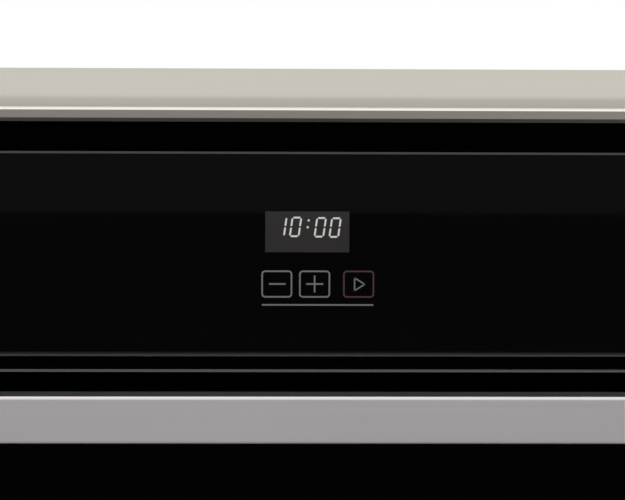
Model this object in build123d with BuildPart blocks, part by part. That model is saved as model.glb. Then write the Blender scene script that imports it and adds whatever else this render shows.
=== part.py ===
from build123d import *
import math
import os

# A built-in gas oven of the 60 cm class. All sizes are in millimetres.
# X runs to the right as the cook sees the front, Y runs from the front to the back, Z runs up.
# The origin is the middle of the case's underside, which rests on the cabinet's shelf.

# Case
case_width = 556.0
case_depth = 540.0
case_sheet = 1.0
pan_rim = 25.0
pan_corner = 3.0
pan_slot_rows = 6
slot_radius = 3.0
air_slot_length = 40.0
air_slot_pitch = 18.0
swage_depth = 3.0
swage_margin = 80.0
swage_width = 60.0
swage_taper = 30.0
swage_corner = 12.0
side_swages = 3
cover_slot_rows = 5
back_slot_rows = 8

# Front, as it covers the cabinet's opening
front_overlap = 19.5
front_height = 595.0
front_lift = 6.0
frame_sheet = 2.0
frame_inset = 1.0
frame_corner = 2.0
brow_height = 23.7
band_height = 13.15
panel_glass_height = 90.65
vent_gap = 5.6
strip_height = 7.0
strip_reach = 18.0
swing_gap = 13.0
top_reveal = 29.0
fixing_hole_radius = 2.5
fixing_hole_inset = 9.5
fixing_hole_low = 100.0
fixing_hole_high = 400.0
frame_hem = 1.0
hem_width = 17.0
lead_window_width = 60.0
lead_window_height = 20.0
trim_sheet = 1.5
fold_radius = 1.5
brow_slope = 10.9
brow_proud = 3.0
brow_face_bottom = 6.4
lip_flare = 1.8
lip_drop = 1.3
lip_radius = 0.3
lip_undercut = 3.55
lip_return = 2.6
step_return = 1.5
sill_corner = 3.0
brow_wall = 1.2

# Glass
glass_thickness = 4.0
top_bevel = 1.15
panel_lower_bevel = 2.9
edge_bevel = 0.8

# Door
door_thickness = 28.0
seal_gap = 3.0
pivot_depth = 8.0
pivot_rise = 11.0
door_side_overhang = 13.5
door_foot_overhang = 6.0
door_profile = 1.5
head_height = 25.0
head_below_edge = 2.7
foot_height = 14.0
rail_slots = 8

# Handle
handle_inset = 37.5
handle_post_inset = 30.0
handle_height = 20.0
handle_thickness = 12.0
handle_standoff = 29.0
handle_drop = 3.95
handle_post_radius = 7.0
handle_edge = 1.5
stud_radius = 3.0

# Hinges
hinge_inset = 12.0
hinge_glass_gap = 2.0
hinge_arm_thickness = 4.0
hinge_arm_height = 14.0
hinge_arm_reach = 58.0
hinge_eye_radius = 8.0
hinge_pin_radius = 3.0
hinge_sheet = 2.0
hinge_clearance = 1.0
hinge_slot_corner = 2.0
link_lever = 12.0
link_pin_radius = 2.0
receiver_pin_radius = 3.0
receiver_pin_back = 45.0
running_clearance = 0.05
rod_width = 8.0
rod_thickness = 3.0
rod_gap_above_link = 6.0
rod_head = 4.0
spring_radius = 6.2
spring_wire = 1.6
spring_length = 100.0
spring_seat_height = 70.0
receiver_depth = 54.0
receiver_height = 57.0
cheek_height = 28.0

# Cavity
side_air = 18.0
rear_space = 120.0
cavity_floor = 72.0
cavity_roof_drop = 47.7
cavity_corner = 15.0
liner_sheet = 1.0
liner_flange = 14.0
floor_plate_lift = 38.0
floor_plate_sheet = 1.2
floor_plate_gap = 4.0
mouth_lip = 4.0
mouth_top_lip = 4.3
jacket_thickness = 25.0
jacket_corner = 25.0
gasket_width = 8.0
gasket_offset = 10.0
gasket_clearance = 0.3
lead_hole_radius = 5.0
lead_spacing = 90.0
probe_spacing = 44.0
probe_rise = 8.0
probe_back = 30.0
probe_front = 30.0
probe_collar = 3.0
floor_slot_length = 30.0
floor_slot_pitch = 14.0
floor_slot_inset = 45.0
floor_slots = 20
floor_port_width = 128.0
floor_port_height = 34.0
floor_fold_radius = 3.0

# Racks
ladder_wire = 5.0
ladder_front = 40.0
ladder_back = 30.0
ladder_levels = 5
ladder_first = 50.0
ladder_pitch = 45.0
ladder_reach = 9.0
wall_play = 1.5
rack_wire = 6.0
rack_bar_wire = 4.0
rack_bars = 13
bar_weld = 0.8
rack_rail_index = 3
tray_rail_index = 1
tray_sheet = 1.0
tray_height = 25.0
tray_rim = 14.0
slide_clearance = 0.3
rack_front_gap = 35.0
rack_back_gap = 5.0
tray_back_gap = 15.0
ladder_foot = 15.0
tray_corner = 20.0
tray_taper = 10.0

# Burner
burner_radius = 14.0
burner_sheet = 1.2
burner_axis = 20.0
burner_front_gap = 80.0
burner_bell_radius = 17.0
burner_throat_radius = 9.0
burner_hole_clearance = 3.0
burner_slot_margin = 20.0
burner_slot_pitch = 24.0
burner_slot_length = 12.0
burner_slot_width = 2.5
bracket_sheet = 1.5
bracket_setback = 30.0
bracket_width = 40.0
bracket_foot = 14.0
bracket_headroom = 6.0
injector_width = 24.0
injector_length = 20.0
injector_height = 22.0
nozzle_radius = 4.0
nozzle_length = 10.0
nozzle_taper = 12.0
injector_edge = 2.0
injector_setback = 35.0
burner_bell_length = 28.0
burner_flange_radius = 18.0
burner_bell_taper = 12.0
burner_flange_reach = 4.0
burner_mixer_length = 25.0
burner_port_width = 126.0
burner_port_height = 42.0
hat_half_width = 42.0
hat_foot = 12.0
hat_height = 26.0
inlet_boss_radius = 7.0
inlet_boss_length = 6.0
spark_body_radius = 3.5
spark_tip_radius = 1.25
spark_tip_reach = 25.0
thermo_body_radius = 3.0
thermo_tip_radius = 2.5
thermo_tip_reach = 20.0

# Gas line
pipe_radius = 5.0
pipe_bore = 4.0
pipe_bend = 25.0
inlet_thread_radius = 10.48
inlet_bore_radius = 7.0
inlet_thread_length = 14.0
inlet_neck_radius = 9.0
tap_width = 46.0
tap_depth = 48.0
tap_height = 56.0
tap_corner = 8.0
tap_port_bore_depth = 6.0
plug_setback = 4.0
plug_shoulder_gap = 1.0
plug_nose = 4.0
plug_radius = 8.0
plug_length = 34.0
plug_neck_radius = 6.0
spindle_radius = 4.0
spindle_flat = 1.2
spindle_socket_floor = 6.0
spindle_end_gap = 2.0
tap_port_length = 8.0
tap_port_x = 13.0
tap_port_z = 15.0
elbow_size = 26.0
elbow_port_length = 8.0
elbow_nut = 6.0
elbow_nut_reach = 4.0
elbow_round = 3.0
elbow_setback = 15.0

# Controls
knob_inset = 107.5
knob_drop = 45.15
knob_radius = 19.0
knob_depth = 20.0
knob_wall = 1.6
knob_gap = 8.0
knob_push = 4.0
knob_bevel = 1.5
pointer_width = 2.0
pointer_depth = 0.6
pointer_length = 12.0
bezel_radius = 25.0
bezel_thickness = 1.5
bezel_bore = 12.0
knob_hole_radius = 7.0
housing_wall = 2.5
housing_inset = 2.5
housing_lift = 1.5
housing_corner = 1.5
clock_x = -2.6
clock_drop = 34.95
clock_width = 48.0
clock_height = 28.0
keys_x = 2.0
keys_drop = 58.05
keys_width = 56.0
keys_height = 16.0
board_width = 150.0
board_height = 62.0
board_thickness = 1.6
board_depth = 10.0
board_end_gap = 1.5
relay_width = 34.0
relay_height = 28.0
coil_width = 16.0
coil_height = 24.0
can_radius = 5.0
can_pitch_x = 16.0
can_pitch_z = 20.0
switch_width = 40.0
switch_depth = 36.0
switch_corner = 3.0
tab_count = 3
tab_pitch = 10.0
tab_width = 6.3
tab_length = 16.0
tab_thickness = 0.8
rib_pitch = 38.0
rib_width = 1.5
rib_depth = 6.0
rib_count = 4
boss_radius = 3.5
boss_inset = 7.0
key_places = (-15.9, 0.6, 20.0)
key_pad_radius = 4.5
display_rim = 6.0
module_clearance = 0.4

# Grill element
grill_tube = 6.5
grill_drop = 16.0
grill_reach = 330.0
grill_inset = 80.0
grill_bend = 22.0
grill_lead = 15.0
grill_fold = 60.0
grill_fold_pitch = 60.0
grill_inner_offset = 5.0
grill_plate_margin = 15.0
grill_plate_height = 19.5
hanger_margin = 15.0
hanger_foot = 10.0
hanger_width = 12.0

# Rear service recess
recess_margin = 23.0
inlet_inset = 55.0
recess_height = 68.0
recess_depth = 50.0
recess_drop = 5.0
recess_flange = 8.0
recess_corner = 4.0
top_flange = 3.0

# Lamp
lamp_radius = 28.0
lamp_below_roof = 55.0
lamp_inset = 80.0
lamp_hole_radius = 20.0
lamp_depth = 42.0
lamp_wall = 1.5
lamp_round = 5.0
bulb_socket_wall = 4.0
lens_depth = 14.0
lens_radius = 25.0
lens_wall = 2.0
bulb_radius = 6.0

# Flue
flue_width = 300.0
flue_height = 16.0
flue_throat = 40.0
flue_slots = 10
flue_slot_width = 22.0
flue_slot_height = 8.0
flue_slot_margin = 10.0
flue_sheet = 1.0
flue_inlet_y = 40.0
flue_mouth_drop = 4.1

# Mains and ignition
gland_radius = 9.0
gland_bore = 4.5
gland_nut_margin = 2.0
gland_nut_length = 6.0
gland_length = 16.0
gland_round = 3.0
terminal_width = 70.0
terminal_depth = 30.0
terminal_clearance = 6.0
terminal_corner = 4.0
terminal_edge = 1.5
spark_width = 70.0
spark_height = 26.0
spark_depth = 30.0
spark_x = 95.0
spark_corner = 3.0
spark_pins = 4
spark_pin_pitch = 16.0
spark_pin_radius = 3.0
spark_pin_length = 8.0

# Places that follow from the sizes
cabinet_y = -case_depth / 2
case_back_y = case_depth / 2
frame_front_y = cabinet_y - frame_sheet
door_back_y = frame_front_y - seal_gap
front_y = door_back_y - door_thickness
glass_back_y = front_y + glass_thickness
front_top = front_lift + front_height
brow_bottom = front_top - brow_height
panel_glass_top = brow_bottom - band_height
panel_glass_bottom = panel_glass_top - panel_glass_height
door_top = panel_glass_bottom - vent_gap
door_bottom = front_lift + strip_height + swing_gap
case_top = front_top - top_reveal
front_width = case_width + 2 * front_overlap
frame_width = front_width - 2 * frame_inset
frame_top = front_top - case_sheet

pivot_y = door_back_y - pivot_depth
pivot_z = door_bottom + pivot_rise

cavity_roof = door_top - cavity_roof_drop
cavity_depth = case_depth - rear_space
cavity_back_y = cabinet_y + cavity_depth
rack_depth = cavity_depth - rack_front_gap - rack_back_gap
tray_depth = cavity_depth - rack_front_gap - tray_back_gap
jacket_x = case_width / 2 - case_sheet - swage_depth - side_air
liner_x = jacket_x - jacket_thickness
cavity_width = 2 * (liner_x - liner_sheet)
floor_plate_top = cavity_floor + floor_plate_lift
mouth_width = cavity_width - 2 * mouth_lip
mouth_bottom = floor_plate_top + floor_plate_sheet
mouth_top = cavity_roof - mouth_top_lip
jacket_bottom = cavity_floor - liner_sheet - jacket_thickness
jacket_top = cavity_roof + liner_sheet + jacket_thickness
jacket_back_y = cavity_back_y + liner_sheet + jacket_thickness

door_inner_x = front_width / 2 - door_side_overhang
hinge_x = case_width / 2 - hinge_inset
door_glass_x = hinge_x - hinge_arm_thickness - hinge_sheet / 2 - hinge_glass_gap
door_inner_bottom = door_bottom + door_foot_overhang
door_head_top = door_top - head_below_edge
door_head_bottom = door_head_top - head_height
door_foot_top = door_inner_bottom + foot_height

knob_spacing = front_width - 2 * knob_inset
knob_z = panel_glass_top - knob_drop
clock_z = panel_glass_top - clock_drop
keys_z = panel_glass_top - keys_drop
housing_bottom = panel_glass_bottom + housing_lift
handle_length = front_width - 2 * handle_inset
handle_post_spacing = handle_length - 2 * handle_post_inset
grill_half_width = cavity_width / 2 - grill_inset
lamp_x = cavity_width / 2 - lamp_inset
burner_z = cavity_floor + burner_axis
burner_nose_y = cabinet_y + burner_front_gap
injector_y = cavity_back_y + injector_length / 2 + injector_setback
recess_width = case_width - 2 * recess_margin
elbow_x = recess_width / 2 - inlet_inset
gland_x = -elbow_x
recess_top = case_top - recess_drop
recess_bottom = recess_top - recess_height
recess_front_y = case_back_y - recess_depth
flue_slot_z = (door_top + panel_glass_bottom) / 2 + 1.0


def front_plane(y):
    """The upright plane at depth y that faces the cook: its local x is X, its local y is Z."""
    return Plane.XZ.offset(-y)


def side_plane(x):
    """The upright plane at x that faces right: its local x is Y, its local y is Z."""
    return Plane.YZ.offset(x)


def level_plane(z):
    """The level plane at height z."""
    return Plane.XY.offset(z)


def block(x0, x1, y0, y1, z0, z1, mode=Mode.ADD):
    """A plain block between six limits, added to or cut from the piece being built."""
    with Locations(((x0 + x1) / 2, (y0 + y1) / 2, (z0 + z1) / 2)):
        Box(abs(x1 - x0), abs(y1 - y0), abs(z1 - z0), mode=mode)


def window(x, z, width, height, radius, mode=Mode.SUBTRACT):
    """A rounded rectangle at x and z of the sketch being drawn, as a rule a cut-out."""
    with Locations((x, z)):
        RectangleRounded(width, height, radius, mode=mode)


def keep(piece, label):
    """Names the finished piece and writes its file."""
    piece.part.label = label
    export_step(piece.part, f"parts/{label}.step")
    print(label, "solids", len(piece.part.solids()), "volume", round(piece.part.volume))


os.makedirs("parts", exist_ok=True)
sides = (("left", -1), ("right", 1))

# Case


with BuildPart() as base_pan:
    with BuildSketch(level_plane(0)):
        with Locations((0, -case_sheet / 2)):
            RectangleRounded(case_width - 2 * case_sheet, case_depth - case_sheet, pan_corner)
    extrude(amount=pan_rim)
    offset(amount=-case_sheet, openings=base_pan.faces().sort_by(Axis.Z)[-1])
    with BuildSketch(level_plane(0)):
        with GridLocations(2 * air_slot_length, air_slot_pitch, 2, pan_slot_rows):
            SlotOverall(air_slot_length, 2 * slot_radius)
    extrude(amount=case_sheet, mode=Mode.SUBTRACT)
keep(base_pan, "base_pan")


for side, sign in sides:
    outer_x = sign * case_width / 2
    with BuildPart() as side_panel:
        with BuildSketch(side_plane(outer_x)):
            with Locations((0, (case_top - case_sheet) / 2)):
                Rectangle(case_depth, case_top - case_sheet)
        extrude(amount=-sign * case_sheet)
        swage_height = case_top - 2 * swage_margin
        with BuildSketch(side_plane(outer_x - sign * case_sheet)):
            with GridLocations(2 * swage_margin, 0, side_swages, 1):
                with Locations((0, case_top / 2)):
                    RectangleRounded(swage_width, swage_height, swage_corner)
        extrude(amount=-sign * swage_depth, taper=swage_taper)
        with BuildSketch(side_plane(outer_x)):
            with GridLocations(2 * swage_margin, 0, side_swages, 1):
                with Locations((0, case_top / 2)):
                    inner_width = swage_width - 2 * case_sheet
                    inner_height = swage_height - 2 * case_sheet
                    RectangleRounded(inner_width, inner_height, swage_corner - case_sheet)
        extrude(amount=-sign * swage_depth, taper=swage_taper, mode=Mode.SUBTRACT)
    keep(side_panel, f"side_panel_{side}")

with BuildPart() as top_cover:
    with BuildSketch(level_plane(case_top - case_sheet)):
        Rectangle(case_width, case_depth)
    extrude(amount=case_sheet)
    with BuildSketch(level_plane(case_top - case_sheet)):
        Rectangle(case_width - 2 * case_sheet, case_depth - 4 * case_sheet)
        Rectangle(case_width - 4 * case_sheet, case_depth - 6 * case_sheet, mode=Mode.SUBTRACT)
    extrude(amount=-top_flange)
    with BuildSketch(level_plane(case_top)):
        with Locations((0, case_depth / 5)):
            with GridLocations(3 * air_slot_length, air_slot_pitch, 3, cover_slot_rows):
                SlotOverall(2 * air_slot_length, 2 * slot_radius)
    extrude(amount=-case_sheet, mode=Mode.SUBTRACT)
keep(top_cover, "top_cover")

with BuildPart() as back_panel:
    panel_height = case_top - case_sheet
    with BuildSketch(front_plane(case_back_y)):
        with Locations((0, panel_height / 2)):
            Rectangle(case_width - 2 * case_sheet, panel_height)
        recess_middle = (recess_top + recess_bottom) / 2
        window(0, recess_middle, recess_width, recess_height, recess_corner)
        for sign in (-1, 1):
            with Locations((sign * case_width / 4, case_top / 3)):
                with GridLocations(0, air_slot_pitch, 1, back_slot_rows):
                    SlotOverall(3 * air_slot_length, 2 * slot_radius, mode=Mode.SUBTRACT)
    extrude(amount=case_sheet)
keep(back_panel, "back_panel")

with BuildPart() as service_recess:
    recess_middle = (recess_top + recess_bottom) / 2
    with BuildSketch(front_plane(case_back_y - case_sheet)):
        window(0, recess_middle, recess_width, recess_height, recess_corner, Mode.ADD)
    extrude(amount=recess_depth - case_sheet)
    offset(amount=-case_sheet, openings=service_recess.faces().sort_by(Axis.Y)[-1])
    with BuildSketch(front_plane(case_back_y - case_sheet)):
        flange_width = recess_width + 2 * recess_flange
        flange_height = recess_height + 2 * case_sheet
        inner_width = recess_width - 2 * case_sheet
        inner_height = recess_height - 2 * case_sheet
        window(0, recess_middle, flange_width, flange_height, recess_corner, Mode.ADD)
        window(0, recess_middle, inner_width, inner_height, recess_corner - case_sheet)
    extrude(amount=case_sheet)
    with BuildSketch(front_plane(recess_front_y + case_sheet)):
        with Locations((elbow_x, recess_middle)):
            Circle(inlet_neck_radius)
    extrude(amount=case_sheet, mode=Mode.SUBTRACT)
keep(service_recess, "service_recess")

# Front frame and the trims on it

with BuildPart() as front_frame:
    frame_bottom = front_lift
    with BuildSketch(front_plane(cabinet_y)):
        with Locations((0, (frame_bottom + frame_top) / 2)):
            RectangleRounded(frame_width, frame_top - frame_bottom, frame_corner)
        window(0, (mouth_bottom + mouth_top) / 2, mouth_width, mouth_top - mouth_bottom, cavity_corner)
        # At the sill the mouth's corners are nearly square, as the flat floor plate is.
        window(0, mouth_bottom + cavity_corner, mouth_width, 2 * cavity_corner, sill_corner)
        with Locations((0, flue_slot_z)):
            with GridLocations((flue_width - flue_slot_margin) / flue_slots, 0, flue_slots, 1):
                SlotOverall(flue_slot_width, flue_slot_height, mode=Mode.SUBTRACT)
        for sign in (-1, 1):
            window(
                sign * hinge_x,
                pivot_z,
                hinge_arm_thickness + 2 * hinge_clearance,
                hinge_arm_height + 4 * hinge_clearance,
                hinge_slot_corner,
            )
            with Locations((sign * knob_spacing / 2, knob_z)):
                Circle(plug_neck_radius + 2 * hinge_clearance, mode=Mode.SUBTRACT)
            for height in (fixing_hole_low, fixing_hole_high):
                with Locations((sign * (front_width / 2 - fixing_hole_inset), height)):
                    Circle(fixing_hole_radius, mode=Mode.SUBTRACT)
        window(clock_x, clock_z, lead_window_width, lead_window_height, lead_window_height / 4)
    extrude(amount=frame_sheet)
    # The edges at the cabinet's sides are folded back flat, so that they lie on the cabinet.
    with BuildSketch(front_plane(cabinet_y + frame_hem)):
        for sign in (-1, 1):
            with Locations((sign * (frame_width - hem_width) / 2, (frame_bottom + frame_top) / 2)):
                Rectangle(hem_width, frame_top - frame_bottom - 2 * hem_width)
            for height in (fixing_hole_low, fixing_hole_high):
                with Locations((sign * (front_width / 2 - fixing_hole_inset), height)):
                    Circle(fixing_hole_radius, mode=Mode.SUBTRACT)
    extrude(amount=frame_hem)
keep(front_frame, "front_frame")


with BuildPart() as bottom_trim:
    with BuildSketch(side_plane(0)):
        with BuildLine():
            FilletPolyline(
                (frame_front_y - trim_sheet / 2, front_lift + strip_height),
                (frame_front_y - trim_sheet / 2, front_lift + trim_sheet / 2),
                (frame_front_y - strip_reach, front_lift + trim_sheet / 2),
                (frame_front_y - strip_reach, front_lift + strip_height),
                radius=fold_radius,
            )
        trace(line_width=trim_sheet)
    extrude(amount=front_width / 2, both=True)
keep(bottom_trim, "bottom_trim")


# The slanted face is at 45 degrees. An arc turns it upright, and then the sheet flares out to a lip
# and is folded back under it in two steps.
with BuildPart() as top_trim:
    face_y = front_y - brow_proud
    face_z = brow_bottom + brow_face_bottom
    slope_end_z = front_top - brow_slope
    slope_end_y = face_y + (slope_end_z - face_z) * math.tan(math.radians(22.5))
    lip_y = face_y - lip_flare
    lip_z = face_z - lip_drop
    with BuildSketch(side_plane(0)):
        with BuildLine():
            Line((frame_front_y, front_top), (slope_end_y + brow_slope, front_top))
            Line((slope_end_y + brow_slope, front_top), (slope_end_y, slope_end_z))
            TangentArc((slope_end_y, slope_end_z), (face_y, face_z), tangent=(-1, -1))
            Polyline(
                (face_y, face_z),
                (lip_y, lip_z),
                (lip_y + lip_return, lip_z - lip_undercut),
                (lip_y + lip_return + step_return, brow_bottom),
                (frame_front_y, brow_bottom),
                (frame_front_y, front_top),
            )
        make_face()
    extrude(amount=front_width / 2, both=True)
    with BuildSketch(side_plane(0)):
        with BuildLine():
            Polyline(
                (frame_front_y, front_top - brow_wall),
                (slope_end_y + brow_slope + brow_wall / 2, front_top - brow_wall),
                (slope_end_y + 2 * brow_wall, slope_end_z),
                (face_y + 2 * brow_wall, face_z),
                (lip_y + lip_return + brow_wall, lip_z - lip_undercut + brow_wall),
                (lip_y + lip_return + step_return + brow_wall, brow_bottom + brow_wall),
                (frame_front_y, brow_bottom + brow_wall),
                close=True,
            )
        make_face()
    extrude(amount=front_width / 2 - brow_wall, both=True, mode=Mode.SUBTRACT)
    lip = top_trim.edges().filter_by(Axis.X).group_by(Axis.Y)[0]
    fillet(lip, radius=lip_radius)
keep(top_trim, "top_trim")

# Cavity

liner_height = cavity_roof - cavity_floor
liner_middle = (cavity_roof + cavity_floor) / 2
burner_hole_radius = burner_throat_radius + burner_hole_clearance
grill_z = cavity_roof - grill_drop
lamp_z = cavity_roof - lamp_below_roof

with BuildPart() as cavity_liner:
    with BuildSketch(front_plane(cavity_back_y + liner_sheet)):
        window(0, liner_middle, 2 * liner_x, liner_height + 2 * liner_sheet, cavity_corner, Mode.ADD)
    extrude(amount=cavity_depth + liner_sheet)
    with BuildSketch(front_plane(cavity_back_y)):
        window(0, liner_middle, cavity_width, liner_height, cavity_corner - liner_sheet, Mode.ADD)
    extrude(amount=cavity_depth, mode=Mode.SUBTRACT)
    with BuildSketch(front_plane(cabinet_y + liner_sheet)):
        flange_width = 2 * (liner_x + liner_flange)
        flange_height = liner_height + 2 * (liner_sheet + liner_flange)
        window(0, liner_middle, flange_width, flange_height, cavity_corner, Mode.ADD)
        window(0, liner_middle, cavity_width, liner_height, cavity_corner - liner_sheet)
    extrude(amount=liner_sheet)
    with BuildSketch(front_plane(cavity_back_y + liner_sheet)):
        with Locations((0, burner_z)):
            Circle(burner_hole_radius)
        with Locations((lamp_x, lamp_z)):
            Circle(lamp_hole_radius)
        with Locations((0, grill_z)):
            with GridLocations(lead_spacing, 0, 2, 1):
                Circle(lead_hole_radius)
        with Locations((0, burner_z + probe_rise)):
            with GridLocations(probe_spacing + 2 * burner_hole_radius, 0, 2, 1):
                Circle(lead_hole_radius)
    extrude(amount=liner_sheet, mode=Mode.SUBTRACT)
    with BuildSketch(level_plane(cavity_roof)):
        with Locations((0, flue_inlet_y)):
            RectangleRounded(flue_width * 2 / 3, flue_throat * 2 / 3, flue_throat / 8)
    extrude(amount=liner_sheet, mode=Mode.SUBTRACT)
    with BuildSketch(level_plane(cavity_floor)):
        with GridLocations(2 * air_slot_length, 3 * air_slot_pitch, 2, 4):
            SlotOverall(air_slot_length, 2 * slot_radius)
    extrude(amount=-liner_sheet, mode=Mode.SUBTRACT)
keep(cavity_liner, "cavity_liner")


with BuildPart() as cavity_floor_plate:
    half_sheet = floor_plate_sheet / 2
    plate_front_y = cabinet_y + floor_plate_gap
    plate_back_y = cavity_back_y - floor_plate_gap
    with BuildSketch(side_plane(0)):
        with BuildLine():
            FilletPolyline(
                (plate_front_y + half_sheet, cavity_floor),
                (plate_front_y + half_sheet, floor_plate_top - half_sheet),
                (plate_back_y - half_sheet, floor_plate_top - half_sheet),
                (plate_back_y - half_sheet, cavity_floor),
                radius=floor_fold_radius,
            )
        trace(line_width=floor_plate_sheet)
    extrude(amount=cavity_width / 2 - floor_plate_gap, both=True)
    with BuildSketch(front_plane(cavity_back_y)):
        window(0, liner_middle, cavity_width - 2 * floor_plate_gap, liner_height, cavity_corner, Mode.ADD)
    extrude(amount=cavity_depth, mode=Mode.INTERSECT)
    with BuildSketch(level_plane(floor_plate_top)):
        with Locations((0, (plate_front_y + plate_back_y) / 2)):
            with GridLocations(cavity_width - 2 * floor_slot_inset, floor_slot_pitch, 2, floor_slots):
                SlotOverall(floor_slot_length, 2 * slot_radius)
    extrude(amount=-floor_plate_sheet, mode=Mode.SUBTRACT)
    with BuildSketch(front_plane(plate_back_y)):
        with Locations((0, burner_z)):
            SlotOverall(floor_port_width, floor_port_height)
    extrude(amount=3 * floor_plate_sheet, mode=Mode.SUBTRACT)
keep(cavity_floor_plate, "cavity_floor_plate")

with BuildPart() as insulation_jacket:
    jacket_height = jacket_top - jacket_bottom
    jacket_middle = (jacket_top + jacket_bottom) / 2
    liner_outer_height = liner_height + 2 * liner_sheet
    with BuildSketch(front_plane(jacket_back_y)):
        window(0, jacket_middle, 2 * jacket_x, jacket_height, jacket_corner, Mode.ADD)
    extrude(amount=jacket_back_y - cabinet_y - liner_sheet)
    with BuildSketch(front_plane(cavity_back_y + liner_sheet)):
        window(0, liner_middle, 2 * liner_x, liner_outer_height, cavity_corner, Mode.ADD)
    extrude(amount=cavity_depth, mode=Mode.SUBTRACT)
    with BuildSketch(front_plane(jacket_back_y)):
        window(0, burner_z, burner_port_width, burner_port_height, burner_port_height / 8, Mode.ADD)
        window(0, grill_z, 2 * lead_spacing, 4 * lead_hole_radius, lead_hole_radius, Mode.ADD)
        with Locations((lamp_x, lamp_z)):
            Circle(lamp_radius)
    extrude(amount=jacket_thickness, mode=Mode.SUBTRACT)
    with BuildSketch(level_plane(jacket_top)):
        with Locations((0, flue_inlet_y)):
            Rectangle(flue_width, flue_throat)
    extrude(amount=-jacket_thickness, mode=Mode.SUBTRACT)
    with BuildSketch(level_plane(jacket_bottom)):
        RectangleRounded(4 * air_slot_length, 5 * air_slot_length, air_slot_length / 4)
    extrude(amount=jacket_thickness, mode=Mode.SUBTRACT)
keep(insulation_jacket, "insulation_jacket")

with BuildPart() as flue_duct:
    throat_front_y = flue_inlet_y - flue_throat / 2
    throat_back_y = flue_inlet_y + flue_throat / 2
    duct_top = jacket_top + flue_height
    mouth_low = door_top - flue_mouth_drop
    mouth_high = mouth_low + flue_height
    knee_y = cabinet_y + flue_throat
    with BuildSketch(side_plane(0)):
        with BuildLine():
            Polyline(
                (throat_front_y, cavity_roof + liner_sheet),
                (throat_front_y, jacket_top),
                (knee_y + flue_throat, jacket_top),
                (knee_y, mouth_low),
                (cabinet_y, mouth_low),
                (cabinet_y, mouth_high),
                (knee_y, mouth_high),
                (knee_y + flue_throat, duct_top),
                (throat_back_y, duct_top),
                (throat_back_y, cavity_roof + liner_sheet),
                close=True,
            )
        make_face()
    extrude(amount=flue_width / 2, both=True)
    openings = [flue_duct.faces().sort_by(Axis.Y)[0], flue_duct.faces().sort_by(Axis.Z)[0]]
    offset(amount=-flue_sheet, openings=openings)
keep(flue_duct, "flue_duct")

with BuildPart() as door_gasket:
    with BuildSketch(front_plane(frame_front_y)):
        middle = (mouth_bottom + mouth_top) / 2
        grow = 2 * gasket_offset
        outer = grow + 2 * gasket_width
        height = mouth_top - mouth_bottom
        window(0, middle, mouth_width + outer, height + outer, cavity_corner + outer / 2, Mode.ADD)
        window(0, middle, mouth_width + grow, height + grow, cavity_corner + grow / 2)
    extrude(amount=seal_gap - gasket_clearance)
keep(door_gasket, "door_gasket")

# Burner, under the floor plate


with BuildPart() as burner_tube:
    bell_y = cavity_back_y + burner_bell_length
    throat_y = bell_y - burner_bell_taper
    flange_y = cavity_back_y - burner_sheet
    mixer_y = flange_y - burner_flange_reach - burner_mixer_length
    with BuildSketch(side_plane(0)):
        with BuildLine():
            Polyline(
                (bell_y, burner_z),
                (bell_y, burner_z + burner_bell_radius),
                (throat_y, burner_z + burner_throat_radius),
                (flange_y - burner_flange_reach, burner_z + burner_throat_radius),
                (mixer_y, burner_z + burner_radius),
                (burner_nose_y, burner_z + burner_radius),
                (burner_nose_y, burner_z),
                close=True,
            )
        make_face()
    revolve(axis=Axis((0, 0, burner_z), (0, 1, 0)))
    offset(amount=-burner_sheet, openings=burner_tube.faces().sort_by(Axis.Y)[-1])
    with BuildSketch(front_plane(cavity_back_y)):
        with Locations((0, burner_z)):
            Circle(burner_flange_radius)
            Circle(burner_throat_radius - burner_sheet / 2, mode=Mode.SUBTRACT)
    extrude(amount=burner_sheet)
    burner_slots = int((mixer_y - burner_nose_y - 2 * burner_slot_margin) / burner_slot_pitch) + 1
    ports_y = burner_nose_y + 2 * burner_slot_length + (burner_slots - 1) * burner_slot_pitch / 2
    with Locations((0, ports_y, burner_z + burner_radius / 3)):
        with GridLocations(0, burner_slot_pitch, 1, burner_slots):
            Box(3 * burner_radius, burner_slot_length, burner_slot_width, mode=Mode.SUBTRACT)
keep(burner_tube, "burner_tube")

with BuildPart() as burner_bracket:
    bracket_y = burner_nose_y + bracket_setback
    bracket_height = floor_plate_lift - bracket_headroom
    with BuildSketch(side_plane(0)):
        with BuildLine():
            FilletPolyline(
                (bracket_y - bracket_foot, cavity_floor + bracket_sheet / 2),
                (bracket_y, cavity_floor + bracket_sheet / 2),
                (bracket_y, cavity_floor + bracket_height),
                radius=fold_radius,
            )
        trace(line_width=bracket_sheet)
    extrude(amount=bracket_width / 2, both=True)
    with BuildSketch(front_plane(bracket_y + bracket_sheet)):
        with Locations((0, burner_z)):
            Circle(burner_radius)
    extrude(amount=2 * bracket_sheet, mode=Mode.SUBTRACT)
keep(burner_bracket, "burner_bracket")

hat_back_y = injector_y + injector_length / 2 + bracket_sheet / 2

with BuildPart() as injector_bracket:
    foot_y = cavity_back_y + liner_sheet + bracket_sheet / 2
    with BuildSketch(level_plane(burner_z - hat_height / 2)):
        with BuildLine():
            FilletPolyline(
                (-hat_half_width - hat_foot, foot_y),
                (-hat_half_width, foot_y),
                (-hat_half_width, hat_back_y),
                (hat_half_width, hat_back_y),
                (hat_half_width, foot_y),
                (hat_half_width + hat_foot, foot_y),
                radius=fold_radius,
            )
        trace(line_width=bracket_sheet)
    extrude(amount=hat_height)
    with BuildSketch(side_plane(-hat_half_width - bracket_sheet)):
        with Locations((injector_y, burner_z)):
            Circle(inlet_boss_radius)
    extrude(amount=2 * bracket_sheet, mode=Mode.SUBTRACT)
keep(injector_bracket, "injector_bracket")

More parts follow.
